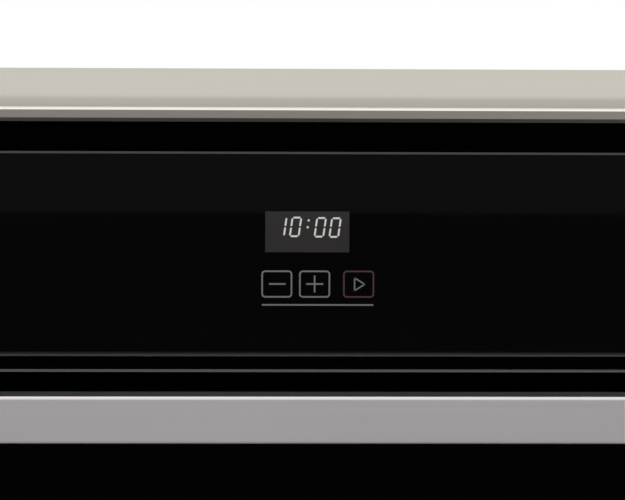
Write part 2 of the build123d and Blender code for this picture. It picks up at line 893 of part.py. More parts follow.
with BuildPart() as burner_injector:
    with Locations((0, injector_y, burner_z)):
        Box(injector_width, injector_length, injector_height)
    chamfer(burner_injector.edges().filter_by(Axis.Y), injector_edge)
    nozzle_y = injector_y - injector_length / 2
    with BuildSketch(front_plane(nozzle_y)):
        with Locations((0, burner_z)):
            Circle(nozzle_radius)
    extrude(amount=nozzle_length, taper=nozzle_taper)
    with BuildSketch(side_plane(-injector_width / 2)):
        with Locations((injector_y, burner_z)):
            Circle(inlet_boss_radius)
    extrude(amount=-inlet_boss_length)
keep(burner_injector, "burner_injector")


def probe(x, body_radius, tip_radius, tip_reach, label):
    """A rod through the cavity's back wall beside the burner, with a thinner tip in front."""
    z = burner_z + probe_rise
    with BuildPart() as piece:
        with BuildSketch(front_plane(cavity_back_y + liner_sheet + probe_back)):
            with Locations((x, z)):
                Circle(body_radius)
        extrude(amount=probe_back + probe_front)
        with BuildSketch(front_plane(cavity_back_y)):
            with Locations((x, z)):
                Circle(lead_hole_radius + probe_collar)
        extrude(amount=bracket_sheet)
        with BuildSketch(front_plane(cavity_back_y + liner_sheet - probe_front)):
            with Locations((x, z)):
                Circle(tip_radius)
        extrude(amount=tip_reach)
        nose = piece.faces().sort_by(Axis.Y)[0]
        chamfer(nose.edges(), tip_radius / 3)
    keep(piece, label)


probe_x = probe_spacing / 2 + burner_hole_radius
probe(probe_x, spark_body_radius, spark_tip_radius, spark_tip_reach, "spark_electrode")
probe(-probe_x, thermo_body_radius, thermo_tip_radius, thermo_tip_reach, "thermocouple")

# Gas line


def pipe(points, label):
    """A bent gas pipe along straight runs."""
    with BuildPart() as tube:
        with BuildLine():
            route = FilletPolyline(*points, radius=pipe_bend)
        with BuildSketch(Plane(origin=route @ 0, z_dir=route % 0)):
            Circle(pipe_radius)
            Circle(pipe_bore, mode=Mode.SUBTRACT)
        sweep()
    keep(tube, label)


knob_x = knob_spacing / 2
tap_back_y = cabinet_y + tap_depth
elbow_y = recess_front_y - elbow_setback
elbow_z = recess_middle

tap_in = (-knob_x - tap_port_x, tap_back_y + tap_port_length, knob_z + tap_port_z)
tap_out = (-knob_x + tap_port_x, tap_back_y + tap_port_length, knob_z - tap_port_z)
elbow_out_x = elbow_x - elbow_size / 2 - elbow_port_length

pipe(
    [
        (elbow_out_x, elbow_y, elbow_z),
        (tap_in[0], elbow_y, elbow_z),
        (tap_in[0], (elbow_y + tap_in[1]) / 2, elbow_z),
        (tap_in[0], (elbow_y + tap_in[1]) / 2 - 3 * pipe_bend, tap_in[2]),
        tap_in,
    ],
    "gas_manifold_pipe",
)
pipe(
    [
        tap_out,
        (tap_out[0], injector_y, tap_out[2]),
        (tap_out[0], injector_y, burner_z),
        (-injector_width / 2 - inlet_boss_length, injector_y, burner_z),
    ],
    "burner_supply_pipe",
)

with BuildPart() as gas_inlet_elbow:
    with Locations((elbow_x, elbow_y, elbow_z)):
        Box(elbow_size, elbow_size, elbow_size)
    fillet(gas_inlet_elbow.edges(), elbow_round)
    with BuildSketch(side_plane(elbow_x - elbow_size / 2)):
        with Locations((elbow_y, elbow_z)):
            Circle(inlet_neck_radius)
    extrude(amount=-elbow_port_length)
    thread_back_y = case_back_y - recess_flange
    thread_front_y = thread_back_y - inlet_thread_length
    with BuildSketch(front_plane(thread_front_y)):
        with Locations((elbow_x, elbow_z)):
            Circle(inlet_neck_radius)
    extrude(amount=thread_front_y - elbow_y)
    with BuildSketch(front_plane(recess_front_y + case_sheet + elbow_nut)):
        with Locations((elbow_x, elbow_z)):
            RegularPolygon(inlet_thread_radius + elbow_nut_reach, 6)
    extrude(amount=elbow_nut)
    with BuildSketch(front_plane(thread_back_y)):
        with Locations((elbow_x, elbow_z)):
            Circle(inlet_thread_radius)
    extrude(amount=inlet_thread_length)
    with BuildSketch(front_plane(thread_back_y)):
        with Locations((elbow_x, elbow_z)):
            Circle(inlet_bore_radius)
    extrude(amount=thread_back_y - elbow_y, mode=Mode.SUBTRACT)
    with BuildSketch(side_plane(elbow_out_x)):
        with Locations((elbow_y, elbow_z)):
            Circle(pipe_bore)
    extrude(amount=elbow_x - elbow_out_x, mode=Mode.SUBTRACT)
keep(gas_inlet_elbow, "gas_inlet_elbow")

# Thermostat tap: the plug turns in the body, and the spindle slides in the plug.

plug_front_y = cabinet_y + plug_setback
plug_back_y = plug_front_y + plug_length
spindle_bore_y = plug_back_y - spindle_socket_floor
knob_back_y = front_y - knob_gap
knob_front_y = knob_back_y - knob_depth
spindle_back_y = spindle_bore_y - knob_push - spindle_end_gap
spindle_front_y = knob_back_y - knob_depth / 2


def spindle_outline(x, clearance):
    """The spindle's round section with one flat, in the sketch being drawn."""
    radius = spindle_radius + clearance
    with Locations((x, knob_z)):
        Circle(radius)
    with Locations((x, knob_z + 2 * radius - spindle_flat)):
        Rectangle(2 * radius, 2 * radius, mode=Mode.SUBTRACT)


with BuildPart() as gas_tap_body:
    with BuildSketch(front_plane(tap_back_y)):
        window(-knob_x, knob_z, tap_width, tap_height, tap_corner, Mode.ADD)
    extrude(amount=tap_depth)
    for port in (tap_in, tap_out):
        with BuildSketch(front_plane(port[1])):
            with Locations((port[0], port[2])):
                Circle(inlet_neck_radius)
        extrude(amount=tap_port_length)
        with BuildSketch(front_plane(port[1])):
            with Locations((port[0], port[2])):
                Circle(pipe_bore)
        extrude(amount=tap_port_length + tap_port_bore_depth, mode=Mode.SUBTRACT)
    with BuildSketch(front_plane(plug_back_y)):
        with Locations((-knob_x, knob_z)):
            Circle(plug_radius + running_clearance)
    extrude(amount=plug_length, mode=Mode.SUBTRACT)
    with BuildSketch(front_plane(plug_front_y)):
        with Locations((-knob_x, knob_z)):
            Circle(plug_neck_radius + running_clearance)
    extrude(amount=plug_front_y - cabinet_y, mode=Mode.SUBTRACT)
keep(gas_tap_body, "gas_tap_body")

with BuildPart() as tap_plug:
    with BuildSketch(front_plane(plug_back_y - running_clearance)):
        with Locations((-knob_x, knob_z)):
            Circle(plug_radius)
    extrude(amount=plug_length - 2 * running_clearance)
    with BuildSketch(front_plane(plug_front_y + plug_shoulder_gap)):
        with Locations((-knob_x, knob_z)):
            Circle(plug_neck_radius)
    extrude(amount=plug_front_y + plug_shoulder_gap - frame_front_y + plug_nose)
    with BuildSketch(front_plane(spindle_bore_y)):
        spindle_outline(-knob_x, running_clearance)
    extrude(amount=spindle_bore_y - frame_front_y + plug_nose, mode=Mode.SUBTRACT)
keep(tap_plug, "tap_plug")

with BuildPart() as tap_spindle:
    with BuildSketch(front_plane(spindle_back_y)):
        spindle_outline(-knob_x, 0)
    extrude(amount=spindle_back_y - spindle_front_y)
keep(tap_spindle, "tap_spindle")


with BuildPart() as grill_switch:
    with BuildSketch(front_plane(cabinet_y + switch_depth)):
        window(knob_x, knob_z, switch_width, switch_width, switch_corner, Mode.ADD)
    extrude(amount=switch_depth)
    with BuildSketch(front_plane(spindle_back_y + running_clearance)):
        with Locations((knob_x, knob_z)):
            Circle(spindle_radius + running_clearance)
    extrude(amount=spindle_back_y - cabinet_y + running_clearance, mode=Mode.SUBTRACT)
    with Locations((knob_x, cabinet_y + switch_depth, knob_z)):
        with GridLocations(tab_pitch, 0, tab_count, 1):
            Box(tab_width, tab_length, tab_thickness)
keep(grill_switch, "grill_switch")

with BuildPart() as grill_spindle:
    with BuildSketch(front_plane(spindle_back_y)):
        spindle_outline(knob_x, 0)
    extrude(amount=spindle_back_y - spindle_front_y)
keep(grill_spindle, "grill_spindle")

for label, x in (("gas_knob", -knob_x), ("grill_knob", knob_x)):
    with BuildPart() as knob:
        with BuildSketch(front_plane(knob_back_y)):
            with Locations((x, knob_z)):
                Circle(knob_radius)
        extrude(amount=knob_depth)
        chamfer(knob.edges().group_by(Axis.Y)[0], knob_bevel)
        with BuildSketch(front_plane(knob_back_y)):
            with Locations((x, knob_z)):
                Circle(knob_radius - knob_wall)
                Circle(2 * spindle_radius, mode=Mode.SUBTRACT)
        extrude(amount=knob_depth - 2 * knob_wall, mode=Mode.SUBTRACT)
        with BuildSketch(front_plane(knob_back_y)):
            spindle_outline(x, 0)
        extrude(amount=knob_back_y - spindle_front_y, mode=Mode.SUBTRACT)
        with BuildSketch(front_plane(knob_front_y)):
            with Locations((x, knob_z + knob_radius - knob_bevel - pointer_length / 2)):
                Rectangle(pointer_width, pointer_length)
        extrude(amount=-pointer_depth, mode=Mode.SUBTRACT)
    keep(knob, label)

with BuildPart() as knob_bezels:
    with BuildSketch(front_plane(front_y)):
        with Locations((0, knob_z)):
            with GridLocations(knob_spacing, 0, 2, 1):
                Circle(bezel_radius)
                Circle(bezel_bore, mode=Mode.SUBTRACT)
    extrude(amount=bezel_thickness)
    chamfer(knob_bezels.edges().group_by(Axis.Y)[0], bezel_thickness / 3)
keep(knob_bezels, "knob_bezels")

# Control panel: housing, glass, clock and keys

board_z = (clock_z + keys_z) / 2
board_y = glass_back_y + board_depth

with BuildPart() as control_housing:
    housing_middle = (housing_bottom + brow_bottom) / 2
    housing_height = brow_bottom - housing_bottom
    with BuildSketch(front_plane(frame_front_y)):
        with Locations((0, housing_middle)):
            Rectangle(front_width - 2 * housing_inset, housing_height)
    extrude(amount=frame_front_y - glass_back_y)
    fillet(control_housing.edges().filter_by(Axis.Y), housing_corner)
    offset(amount=-housing_wall, openings=control_housing.faces().sort_by(Axis.Y)[-1])
    inside_y = glass_back_y + housing_wall
    with BuildSketch(front_plane(inside_y + rib_depth)):
        for sign in (-1, 1):
            with Locations((sign * knob_x, housing_middle)):
                with GridLocations(rib_pitch, 0, rib_count, 1):
                    Rectangle(rib_width, housing_height - housing_wall)
    extrude(amount=rib_depth)
    with BuildSketch(front_plane(board_y)):
        with Locations((0, board_z)):
            with GridLocations(board_width - 2 * boss_inset, board_height - 2 * boss_inset, 2, 2):
                Circle(boss_radius)
    extrude(amount=board_y - inside_y)
    with BuildSketch(front_plane(inside_y)):
        window(clock_x, clock_z, clock_width, clock_height, 1, Mode.ADD)
        window(keys_x, keys_z, keys_width, keys_height, 2, Mode.ADD)
        with Locations((0, knob_z)):
            with GridLocations(knob_spacing, 0, 2, 1):
                Circle(knob_hole_radius)
    extrude(amount=housing_wall, mode=Mode.SUBTRACT)
keep(control_housing, "control_housing")

with BuildPart() as control_glass:
    with BuildSketch(front_plane(glass_back_y)):
        with Locations((0, (panel_glass_top + panel_glass_bottom) / 2)):
            Rectangle(front_width, panel_glass_height)
    extrude(amount=glass_thickness)
    front_edges = control_glass.faces().sort_by(Axis.Y)[0].edges()
    chamfer(front_edges.filter_by(Axis.X).sort_by(Axis.Z)[-1], top_bevel)
    front_edges = control_glass.faces().sort_by(Axis.Y)[0].edges()
    chamfer(front_edges.filter_by(Axis.X).sort_by(Axis.Z)[0], panel_lower_bevel)
    with BuildSketch(front_plane(glass_back_y)):
        with Locations((0, knob_z)):
            with GridLocations(knob_spacing, 0, 2, 1):
                Circle(knob_hole_radius)
    extrude(amount=glass_thickness, mode=Mode.SUBTRACT)
keep(control_glass, "control_glass")

with BuildPart() as display_module:
    with BuildSketch(front_plane(board_y)):
        module_width = clock_width - 2 * module_clearance
        module_height = clock_height - 2 * module_clearance
        window(clock_x, clock_z, module_width, module_height, 1, Mode.ADD)
    extrude(amount=board_depth)
    with BuildSketch(front_plane(glass_back_y)):
        window(clock_x, clock_z, clock_width - display_rim, clock_height - display_rim, 1, Mode.ADD)
    extrude(amount=-module_clearance, mode=Mode.SUBTRACT)
keep(display_module, "display_module")

with BuildPart() as timer_board:
    part_room = frame_front_y - board_end_gap - board_y - board_thickness
    with BuildSketch(front_plane(board_y + board_thickness)):
        with Locations((0, board_z)):
            Rectangle(board_width, board_height)
    extrude(amount=board_thickness)
    with BuildSketch(front_plane(board_y)):
        with Locations(*[(place, keys_z) for place in key_places]):
            Circle(key_pad_radius)
    extrude(amount=board_depth)
    with BuildSketch(front_plane(board_y + board_thickness)):
        window(-board_width / 3, board_z, relay_width, relay_height, 2 * board_thickness, Mode.ADD)
        window(board_width / 3, board_z, coil_width, coil_height, board_thickness, Mode.ADD)
    extrude(amount=-part_room)
    with BuildSketch(front_plane(board_y + board_thickness)):
        with Locations((0, board_z)):
            with GridLocations(can_pitch_x, can_pitch_z, 3, 2):
                Circle(can_radius)
    extrude(amount=-part_room / 2)
keep(timer_board, "timer_board")

# Grill, lamp and mains

with BuildPart() as grill_element:
    lead_x = lead_spacing / 2
    lead_end_y = jacket_back_y + grill_lead
    outer_x = grill_half_width
    fold_y = cavity_back_y - grill_fold
    tip_y = cavity_back_y - grill_reach
    inner_fold_y = fold_y - grill_fold_pitch
    inner_x = lead_x + grill_inner_offset
    with BuildLine():
        route = FilletPolyline(
            (-lead_x, lead_end_y, grill_z),
            (-lead_x, fold_y, grill_z),
            (-outer_x, fold_y, grill_z),
            (-outer_x, tip_y, grill_z),
            (-inner_x, tip_y, grill_z),
            (-inner_x, inner_fold_y, grill_z),
            (inner_x, inner_fold_y, grill_z),
            (inner_x, tip_y, grill_z),
            (outer_x, tip_y, grill_z),
            (outer_x, fold_y, grill_z),
            (lead_x, fold_y, grill_z),
            (lead_x, lead_end_y, grill_z),
            radius=grill_bend,
        )
    with BuildSketch(Plane(origin=route @ 0, z_dir=route % 0)):
        Circle(grill_tube / 2)
    sweep()
    with BuildSketch(front_plane(cavity_back_y)):
        plate_width = lead_spacing + 2 * grill_plate_margin
        window(0, grill_z, plate_width, grill_plate_height, 2 * bracket_sheet, Mode.ADD)
    extrude(amount=bracket_sheet)
keep(grill_element, "grill_element")

with BuildPart() as grill_hanger:
    hanger_x = grill_half_width + hanger_margin
    hanger_z = grill_z - grill_tube / 2 - bracket_sheet / 2
    with BuildSketch(front_plane((tip_y + inner_fold_y) / 2)):
        with BuildLine():
            FilletPolyline(
                (-hanger_x - hanger_foot, cavity_roof - bracket_sheet / 2),
                (-hanger_x, cavity_roof - bracket_sheet / 2),
                (-hanger_x, hanger_z),
                (hanger_x, hanger_z),
                (hanger_x, cavity_roof - bracket_sheet / 2),
                (hanger_x + hanger_foot, cavity_roof - bracket_sheet / 2),
                radius=fold_radius,
            )
        trace(line_width=bracket_sheet)
    extrude(amount=hanger_width)
keep(grill_hanger, "grill_hanger")


with BuildPart() as lamp_housing:
    with BuildSketch(front_plane(cavity_back_y + liner_sheet + lamp_depth)):
        with Locations((lamp_x, lamp_z)):
            Circle(lamp_radius)
    extrude(amount=lamp_depth)
    fillet(lamp_housing.edges().group_by(Axis.Y)[-1], lamp_round)
    offset(amount=-lamp_wall, openings=lamp_housing.faces().sort_by(Axis.Y)[0])
    with BuildSketch(front_plane(cavity_back_y + liner_sheet + lamp_depth)):
        with Locations((lamp_x, lamp_z)):
            Circle(bulb_radius + bulb_socket_wall)
    extrude(amount=lamp_depth / 3)
keep(lamp_housing, "lamp_housing")

with BuildPart() as lamp_bulb:
    bulb_back_y = cavity_back_y + liner_sheet + lamp_depth * 2 / 3
    with BuildSketch(front_plane(bulb_back_y)):
        with Locations((lamp_x, lamp_z)):
            Circle(bulb_radius)
    extrude(amount=lamp_depth * 2 / 3)
    fillet(lamp_bulb.edges().group_by(Axis.Y)[0], bulb_radius - 1)
keep(lamp_bulb, "lamp_bulb")

with BuildPart() as lamp_lens:
    with BuildSketch(front_plane(cavity_back_y)):
        with Locations((lamp_x, lamp_z)):
            Circle(lens_radius)
    extrude(amount=lens_depth)
    fillet(lamp_lens.edges().group_by(Axis.Y)[0], lens_depth / 2)
    offset(amount=-lens_wall, openings=lamp_lens.faces().sort_by(Axis.Y)[-1])
keep(lamp_lens, "lamp_lens")


with BuildPart() as terminal_box:
    with BuildSketch(front_plane(recess_front_y + case_sheet + terminal_depth)):
        terminal_height = recess_height - 2 * terminal_clearance
        window(gland_x, recess_middle, terminal_width, terminal_height, terminal_corner, Mode.ADD)
    extrude(amount=terminal_depth)
    chamfer(terminal_box.faces().sort_by(Axis.Y)[-1].edges(), terminal_edge)
keep(terminal_box, "terminal_box")

with BuildPart() as cable_gland:
    gland_y = recess_front_y + case_sheet + terminal_depth
    with BuildSketch(front_plane(gland_y + gland_nut_length)):
        with Locations((gland_x, recess_middle)):
            RegularPolygon(gland_radius + gland_nut_margin, 6)
    extrude(amount=gland_nut_length)
    with BuildSketch(front_plane(gland_y + gland_length)):
        with Locations((gland_x, recess_middle)):
            Circle(gland_radius)
    extrude(amount=gland_length - gland_nut_length)
    fillet(cable_gland.faces().sort_by(Axis.Y)[-1].edges(), gland_round)
    with BuildSketch(front_plane(gland_y + gland_length)):
        with Locations((gland_x, recess_middle)):
            Circle(gland_bore)
    extrude(amount=gland_length, mode=Mode.SUBTRACT)
keep(cable_gland, "cable_gland")


with BuildPart() as spark_module:
    with BuildSketch(front_plane(recess_front_y)):
        window(spark_x, recess_bottom + spark_height / 2, spark_width, spark_height, spark_corner, Mode.ADD)
    extrude(amount=spark_depth)
    with BuildSketch(front_plane(recess_front_y - spark_depth)):
        with Locations((spark_x, recess_bottom + spark_height / 2)):
            with GridLocations(spark_pin_pitch, 0, spark_pins, 1):
                Circle(spark_pin_radius)
    extrude(amount=spark_pin_length)
keep(spark_module, "spark_module")

# Racks inside the cavity

post_x = cavity_width / 2 - wall_play - ladder_wire / 2
rail_x = post_x - ladder_reach
rail_heights = [mouth_bottom + ladder_first + level * ladder_pitch for level in range(ladder_levels)]
ladder_ends = (cabinet_y + ladder_front, cavity_back_y - ladder_back)
ladder_low = rail_heights[0] - ladder_foot
ladder_high = rail_heights[-1] + ladder_foot

for side, sign in sides:
    with BuildPart() as side_rack:
        for height in rail_heights:
            with BuildLine():
                route = FilletPolyline(
                    (sign * post_x, ladder_ends[0], height),
                    (sign * rail_x, ladder_ends[0], height),
                    (sign * rail_x, ladder_ends[1], height),
                    (sign * post_x, ladder_ends[1], height),
                    radius=ladder_wire,
                )
            with BuildSketch(Plane(origin=route @ 0, z_dir=route % 0)):
                Circle(ladder_wire / 2)
            sweep()
        with BuildSketch(level_plane(ladder_low)):
            with Locations(*[(sign * post_x, y) for y in ladder_ends]):
                Circle(ladder_wire / 2)
        extrude(amount=ladder_high - ladder_low)
        with BuildSketch(side_plane(sign * cavity_width / 2)):
            for y in ladder_ends:
                for height in (ladder_low + ladder_wire / 2, ladder_high - ladder_wire / 2):
                    with Locations((y, height)):
                        Circle(ladder_wire / 2)
        extrude(amount=-sign * (wall_play + ladder_wire / 2))
    keep(side_rack, f"side_rack_{side}")

slide_half_width = post_x - ladder_wire / 2 - wall_play
slide_front_y = cabinet_y + rack_front_gap

with BuildPart() as wire_rack:
    wire_x = slide_half_width - rack_wire / 2
    front_wire_y = slide_front_y + rack_wire / 2
    back_wire_y = slide_front_y + rack_depth - rack_wire / 2
    rack_z = rail_heights[rack_rail_index] + ladder_wire / 2 + slide_clearance + rack_wire / 2
    cross_y = back_wire_y - 2 * rack_wire
    cross_z = rack_z - (rack_wire - rack_bar_wire) / 5
    bar_z = rack_z + rack_wire / 2 - bar_weld
    with BuildLine():
        route = FilletPolyline(
            (-wire_x, back_wire_y, rack_z),
            (-wire_x, front_wire_y, rack_z),
            (wire_x, front_wire_y, rack_z),
            (wire_x, back_wire_y, rack_z),
            radius=2 * rack_wire,
        )
    with BuildSketch(Plane(origin=route @ 0, z_dir=route % 0)):
        Circle(rack_wire / 2)
    sweep()
    with BuildSketch(side_plane(-wire_x)):
        with Locations((cross_y, cross_z), ((front_wire_y + back_wire_y) / 2, cross_z)):
            Circle(rack_bar_wire / 2)
    extrude(amount=2 * wire_x)
    with BuildSketch(front_plane(cross_y + rack_bar_wire)):
        with Locations((0, bar_z)):
            with GridLocations(2 * wire_x / (rack_bars + 1), 0, rack_bars, 1):
                Circle(rack_bar_wire / 2)
    extrude(amount=cross_y + rack_bar_wire - front_wire_y + bar_weld)
keep(wire_rack, "wire_rack")

with BuildPart() as baking_tray:
    rim_z = rail_heights[tray_rail_index] + ladder_wire / 2 + slide_clearance
    tray_y = slide_front_y + tray_depth / 2
    body_width = 2 * (slide_half_width - tray_rim)
    body_depth = tray_depth - 2 * tray_rim
    with BuildSketch(level_plane(rim_z)):
        with Locations((0, tray_y)):
            RectangleRounded(2 * slide_half_width, tray_depth, tray_corner)
    extrude(amount=tray_sheet)
    with BuildSketch(level_plane(rim_z)):
        with Locations((0, tray_y)):
            RectangleRounded(body_width, body_depth, tray_corner)
    extrude(amount=-tray_height, taper=tray_taper)
    with BuildSketch(level_plane(rim_z + tray_sheet)):
        with Locations((0, tray_y)):
            wall = 2 * tray_sheet
            RectangleRounded(body_width - wall, body_depth - wall, tray_corner - tray_sheet)
    extrude(amount=-tray_height, taper=tray_taper, mode=Mode.SUBTRACT)
keep(baking_tray, "baking_tray")

# Hinges: the arms hook into the case, and the housings, rods and springs ride in the door.

rod_x = hinge_x + hinge_arm_thickness / 2 + hinge_clearance + rod_thickness / 2
receiver_in_x = hinge_x - hinge_arm_thickness - hinge_clearance
receiver_out_x = case_width / 2 - 2 * case_sheet - hinge_sheet / 2
receiver_front_y = cabinet_y + case_sheet + hinge_sheet / 2
receiver_pin_y = pivot_y + receiver_pin_back
receiver_pin_z = pivot_z - hinge_arm_height / 2 + hinge_clearance
arm_slot_width = hinge_arm_thickness + 2 * hinge_clearance
arm_slot_height = hinge_arm_height + 4 * hinge_clearance

with BuildPart() as hinge_receivers:
    for side, sign in sides:
        with BuildSketch(level_plane(case_sheet)):
            with BuildLine():
                FilletPolyline(
                    (sign * receiver_in_x, receiver_front_y + receiver_depth),
                    (sign * receiver_in_x, receiver_front_y),
                    (sign * receiver_out_x, receiver_front_y),
                    (sign * receiver_out_x, receiver_front_y + receiver_depth),
                    radius=fold_radius,
                )
            trace(line_width=hinge_sheet)
        extrude(amount=receiver_height)
        with BuildSketch(front_plane(receiver_front_y + hinge_sheet / 2)):
            window(sign * hinge_x, pivot_z, arm_slot_width, arm_slot_height, 2, Mode.ADD)
        extrude(amount=hinge_sheet, mode=Mode.SUBTRACT)
        with BuildSketch(side_plane(sign * receiver_in_x)):
            with Locations((receiver_pin_y, receiver_pin_z)):
                Circle(receiver_pin_radius)
        extrude(amount=sign * (receiver_out_x - receiver_in_x))
keep(hinge_receivers, "hinge_receivers")

with BuildPart() as hinge_arms:
    for side, sign in sides:
        link_z = pivot_z + link_lever
        arm_low = pivot_z - hinge_arm_height / 2
        arm_end_y = pivot_y + hinge_arm_reach
        pin_bore = receiver_pin_radius + running_clearance
        with BuildSketch(side_plane(sign * (hinge_x - hinge_arm_thickness / 2))):
            with Locations((pivot_y, pivot_z)):
                Circle(hinge_eye_radius)
            with Locations(((pivot_y + arm_end_y) / 2, pivot_z)):
                Rectangle(hinge_arm_reach, hinge_arm_height)
            with Locations((pivot_y, (pivot_z + link_z) / 2)):
                Rectangle(4 * link_pin_radius, link_lever)
            with Locations((pivot_y, link_z)):
                Circle(2 * link_pin_radius)
            with Locations((arm_end_y - hinge_sheet, arm_low)):
                Rectangle(2 * hinge_sheet, 3 * hinge_sheet)
            with Locations((pivot_y, pivot_z)):
                Circle(hinge_pin_radius + running_clearance, mode=Mode.SUBTRACT)
            with Locations((receiver_pin_y, receiver_pin_z)):
                Circle(pin_bore, mode=Mode.SUBTRACT)
            with Locations((receiver_pin_y, receiver_pin_z - pin_bore)):
                Rectangle(2 * pin_bore, 2 * pin_bore, mode=Mode.SUBTRACT)
        extrude(amount=sign * hinge_arm_thickness)
        with BuildSketch(side_plane(sign * (hinge_x + hinge_arm_thickness / 2))):
            with Locations((pivot_y, link_z)):
                Circle(link_pin_radius)
        extrude(amount=sign * (hinge_clearance + rod_thickness))
keep(hinge_arms, "hinge_arms")

cheek_x = hinge_x - hinge_arm_thickness
web_x = door_inner_x - door_profile - hinge_sheet / 2
cage_front_y = glass_back_y + door_profile + hinge_sheet / 2
cage_back_y = door_back_y - door_profile - hinge_clearance
spring_seat_z = pivot_z + spring_seat_height

with BuildPart() as hinge_housings:
    for side, sign in sides:
        with BuildSketch(level_plane(door_inner_bottom)):
            with BuildLine():
                FilletPolyline(
                    (sign * cheek_x, cage_back_y),
                    (sign * cheek_x, cage_front_y),
                    (sign * web_x, cage_front_y),
                    (sign * web_x, cage_back_y),
                    radius=fold_radius,
                )
            trace(line_width=hinge_sheet)
        extrude(amount=cheek_height)
        with BuildSketch(level_plane(door_inner_bottom)):
            with Locations((sign * web_x, (cage_front_y + cage_back_y) / 2)):
                Rectangle(hinge_sheet, cage_back_y - cage_front_y)
        extrude(amount=spring_seat_z - door_inner_bottom)
        with BuildSketch(level_plane(spring_seat_z)):
            seat_width = web_x - cheek_x
            with Locations((sign * (web_x + cheek_x) / 2, (cage_front_y + cage_back_y) / 2)):
                Rectangle(seat_width, cage_back_y - cage_front_y)
            with Locations((sign * rod_x, pivot_y)):
                Circle(spring_radius - spring_wire, mode=Mode.SUBTRACT)
        extrude(amount=-hinge_sheet)
        with BuildSketch(side_plane(sign * (cheek_x - hinge_sheet / 2))):
            with Locations((pivot_y, pivot_z)):
                Circle(hinge_pin_radius)
        extrude(amount=sign * (web_x - cheek_x + hinge_sheet))
keep(hinge_housings, "hinge_housings")

with BuildPart() as spring_rods:
    for side, sign in sides:
        rod_low = pivot_z + link_lever + rod_gap_above_link
        spring_top_z = spring_seat_z + spring_length
        with BuildSketch(level_plane(rod_low)):
            with Locations((sign * rod_x, pivot_y)):
                Rectangle(rod_thickness, rod_width)
        extrude(amount=spring_top_z - rod_low)
        with BuildSketch(level_plane(spring_top_z)):
            with Locations((sign * rod_x, pivot_y)):
                Circle(spring_radius)
        extrude(amount=rod_head)
keep(spring_rods, "spring_rods")

with BuildPart() as hinge_springs:
    for side, sign in sides:
        with BuildSketch(level_plane(spring_seat_z)):
            with Locations((sign * rod_x, pivot_y)):
                Circle(spring_radius)
                Circle(spring_radius - spring_wire, mode=Mode.SUBTRACT)
        extrude(amount=spring_length)
keep(hinge_springs, "hinge_springs")

# Door

for side, sign in sides:
    with BuildPart() as door_channel:
        wall_x = door_inner_x - door_profile / 2
        with BuildSketch(level_plane(door_inner_bottom)):
            with BuildLine():
                FilletPolyline(
                    (sign * door_glass_x, glass_back_y + door_profile / 2),
                    (sign * wall_x, glass_back_y + door_profile / 2),
                    (sign * wall_x, door_back_y - door_profile / 2),
                    (sign * door_glass_x, door_back_y - door_profile / 2),
                    radius=fold_radius,
                )
            trace(line_width=door_profile)
        extrude(amount=door_head_bottom - door_inner_bottom)
        slot_in_x = hinge_x - hinge_arm_thickness / 2 - hinge_clearance
        slot_out_x = rod_x + rod_thickness / 2 + 2 * hinge_clearance
        block(
            sign * slot_in_x,
            sign * slot_out_x,
            door_back_y - 2 * door_profile,
            door_back_y,
            door_inner_bottom,
            door_inner_bottom + cheek_height,
            Mode.SUBTRACT,
        )
    keep(door_channel, f"door_channel_{side}")


def door_rail(low, high, half_width, label):
    """A closed hollow rail across the door between two heights, with air slots through it."""
    with BuildPart() as rail:
        middle_y = (glass_back_y + door_back_y) / 2
        depth = door_back_y - glass_back_y
        with BuildSketch(side_plane(0)):
            with Locations((middle_y, (low + high) / 2)):
                Rectangle(depth, high - low)
                Rectangle(depth - 2 * door_profile, high - low - 2 * door_profile, mode=Mode.SUBTRACT)
        extrude(amount=half_width, both=True)
        with BuildSketch(level_plane(low)):
            with Locations((0, middle_y - door_profile)):
                with GridLocations(2 * half_width / rail_slots, 0, rail_slots, 1):
                    SlotOverall(half_width / rail_slots, depth / 4)
        extrude(amount=high - low, mode=Mode.SUBTRACT)
        if low < handle_z < high:
            with BuildSketch(front_plane(glass_back_y + door_profile)):
                with Locations((0, handle_z)):
                    with GridLocations(handle_post_spacing, 0, 2, 1):
                        Circle(stud_radius + module_clearance)
            extrude(amount=door_profile, mode=Mode.SUBTRACT)
    keep(rail, label)


handle_z = door_top - handle_drop - handle_height / 2
door_rail(door_head_bottom, door_head_top, door_inner_x, "door_head_rail")
door_rail(door_inner_bottom, door_foot_top, door_glass_x, "door_foot_rail")

with BuildPart() as door_outer_glass:
    with BuildSketch(front_plane(glass_back_y)):
        with Locations((0, (door_top + door_bottom) / 2)):
            Rectangle(front_width, door_top - door_bottom)
    extrude(amount=glass_thickness)
    front_edges = door_outer_glass.faces().sort_by(Axis.Y)[0].edges()
    chamfer(front_edges.filter_by(Axis.X).sort_by(Axis.Z)[-1], top_bevel)
    front_edges = door_outer_glass.faces().sort_by(Axis.Y)[0].edges()
    chamfer(front_edges.filter_by(Axis.X).sort_by(Axis.Z)[0], edge_bevel)
    with BuildSketch(front_plane(glass_back_y)):
        with Locations((0, handle_z)):
            with GridLocations(handle_post_spacing, 0, 2, 1):
                Circle(stud_radius + module_clearance)
    extrude(amount=glass_thickness, mode=Mode.SUBTRACT)
keep(door_outer_glass, "door_outer_glass")

with BuildPart() as door_inner_glass:
    with BuildSketch(front_plane(door_back_y)):
        with Locations((0, (door_head_bottom + door_foot_top) / 2)):
            Rectangle(2 * door_glass_x, door_head_bottom - door_foot_top)
    extrude(amount=glass_thickness)
keep(door_inner_glass, "door_inner_glass")

# Handle

bar_back_y = front_y - handle_standoff

with BuildPart() as handle_bar:
    with Locations((0, bar_back_y - handle_thickness / 2, handle_z)):
        Box(handle_length, handle_thickness, handle_height)
    fillet(handle_bar.edges(), handle_edge)
keep(handle_bar, "handle_bar")

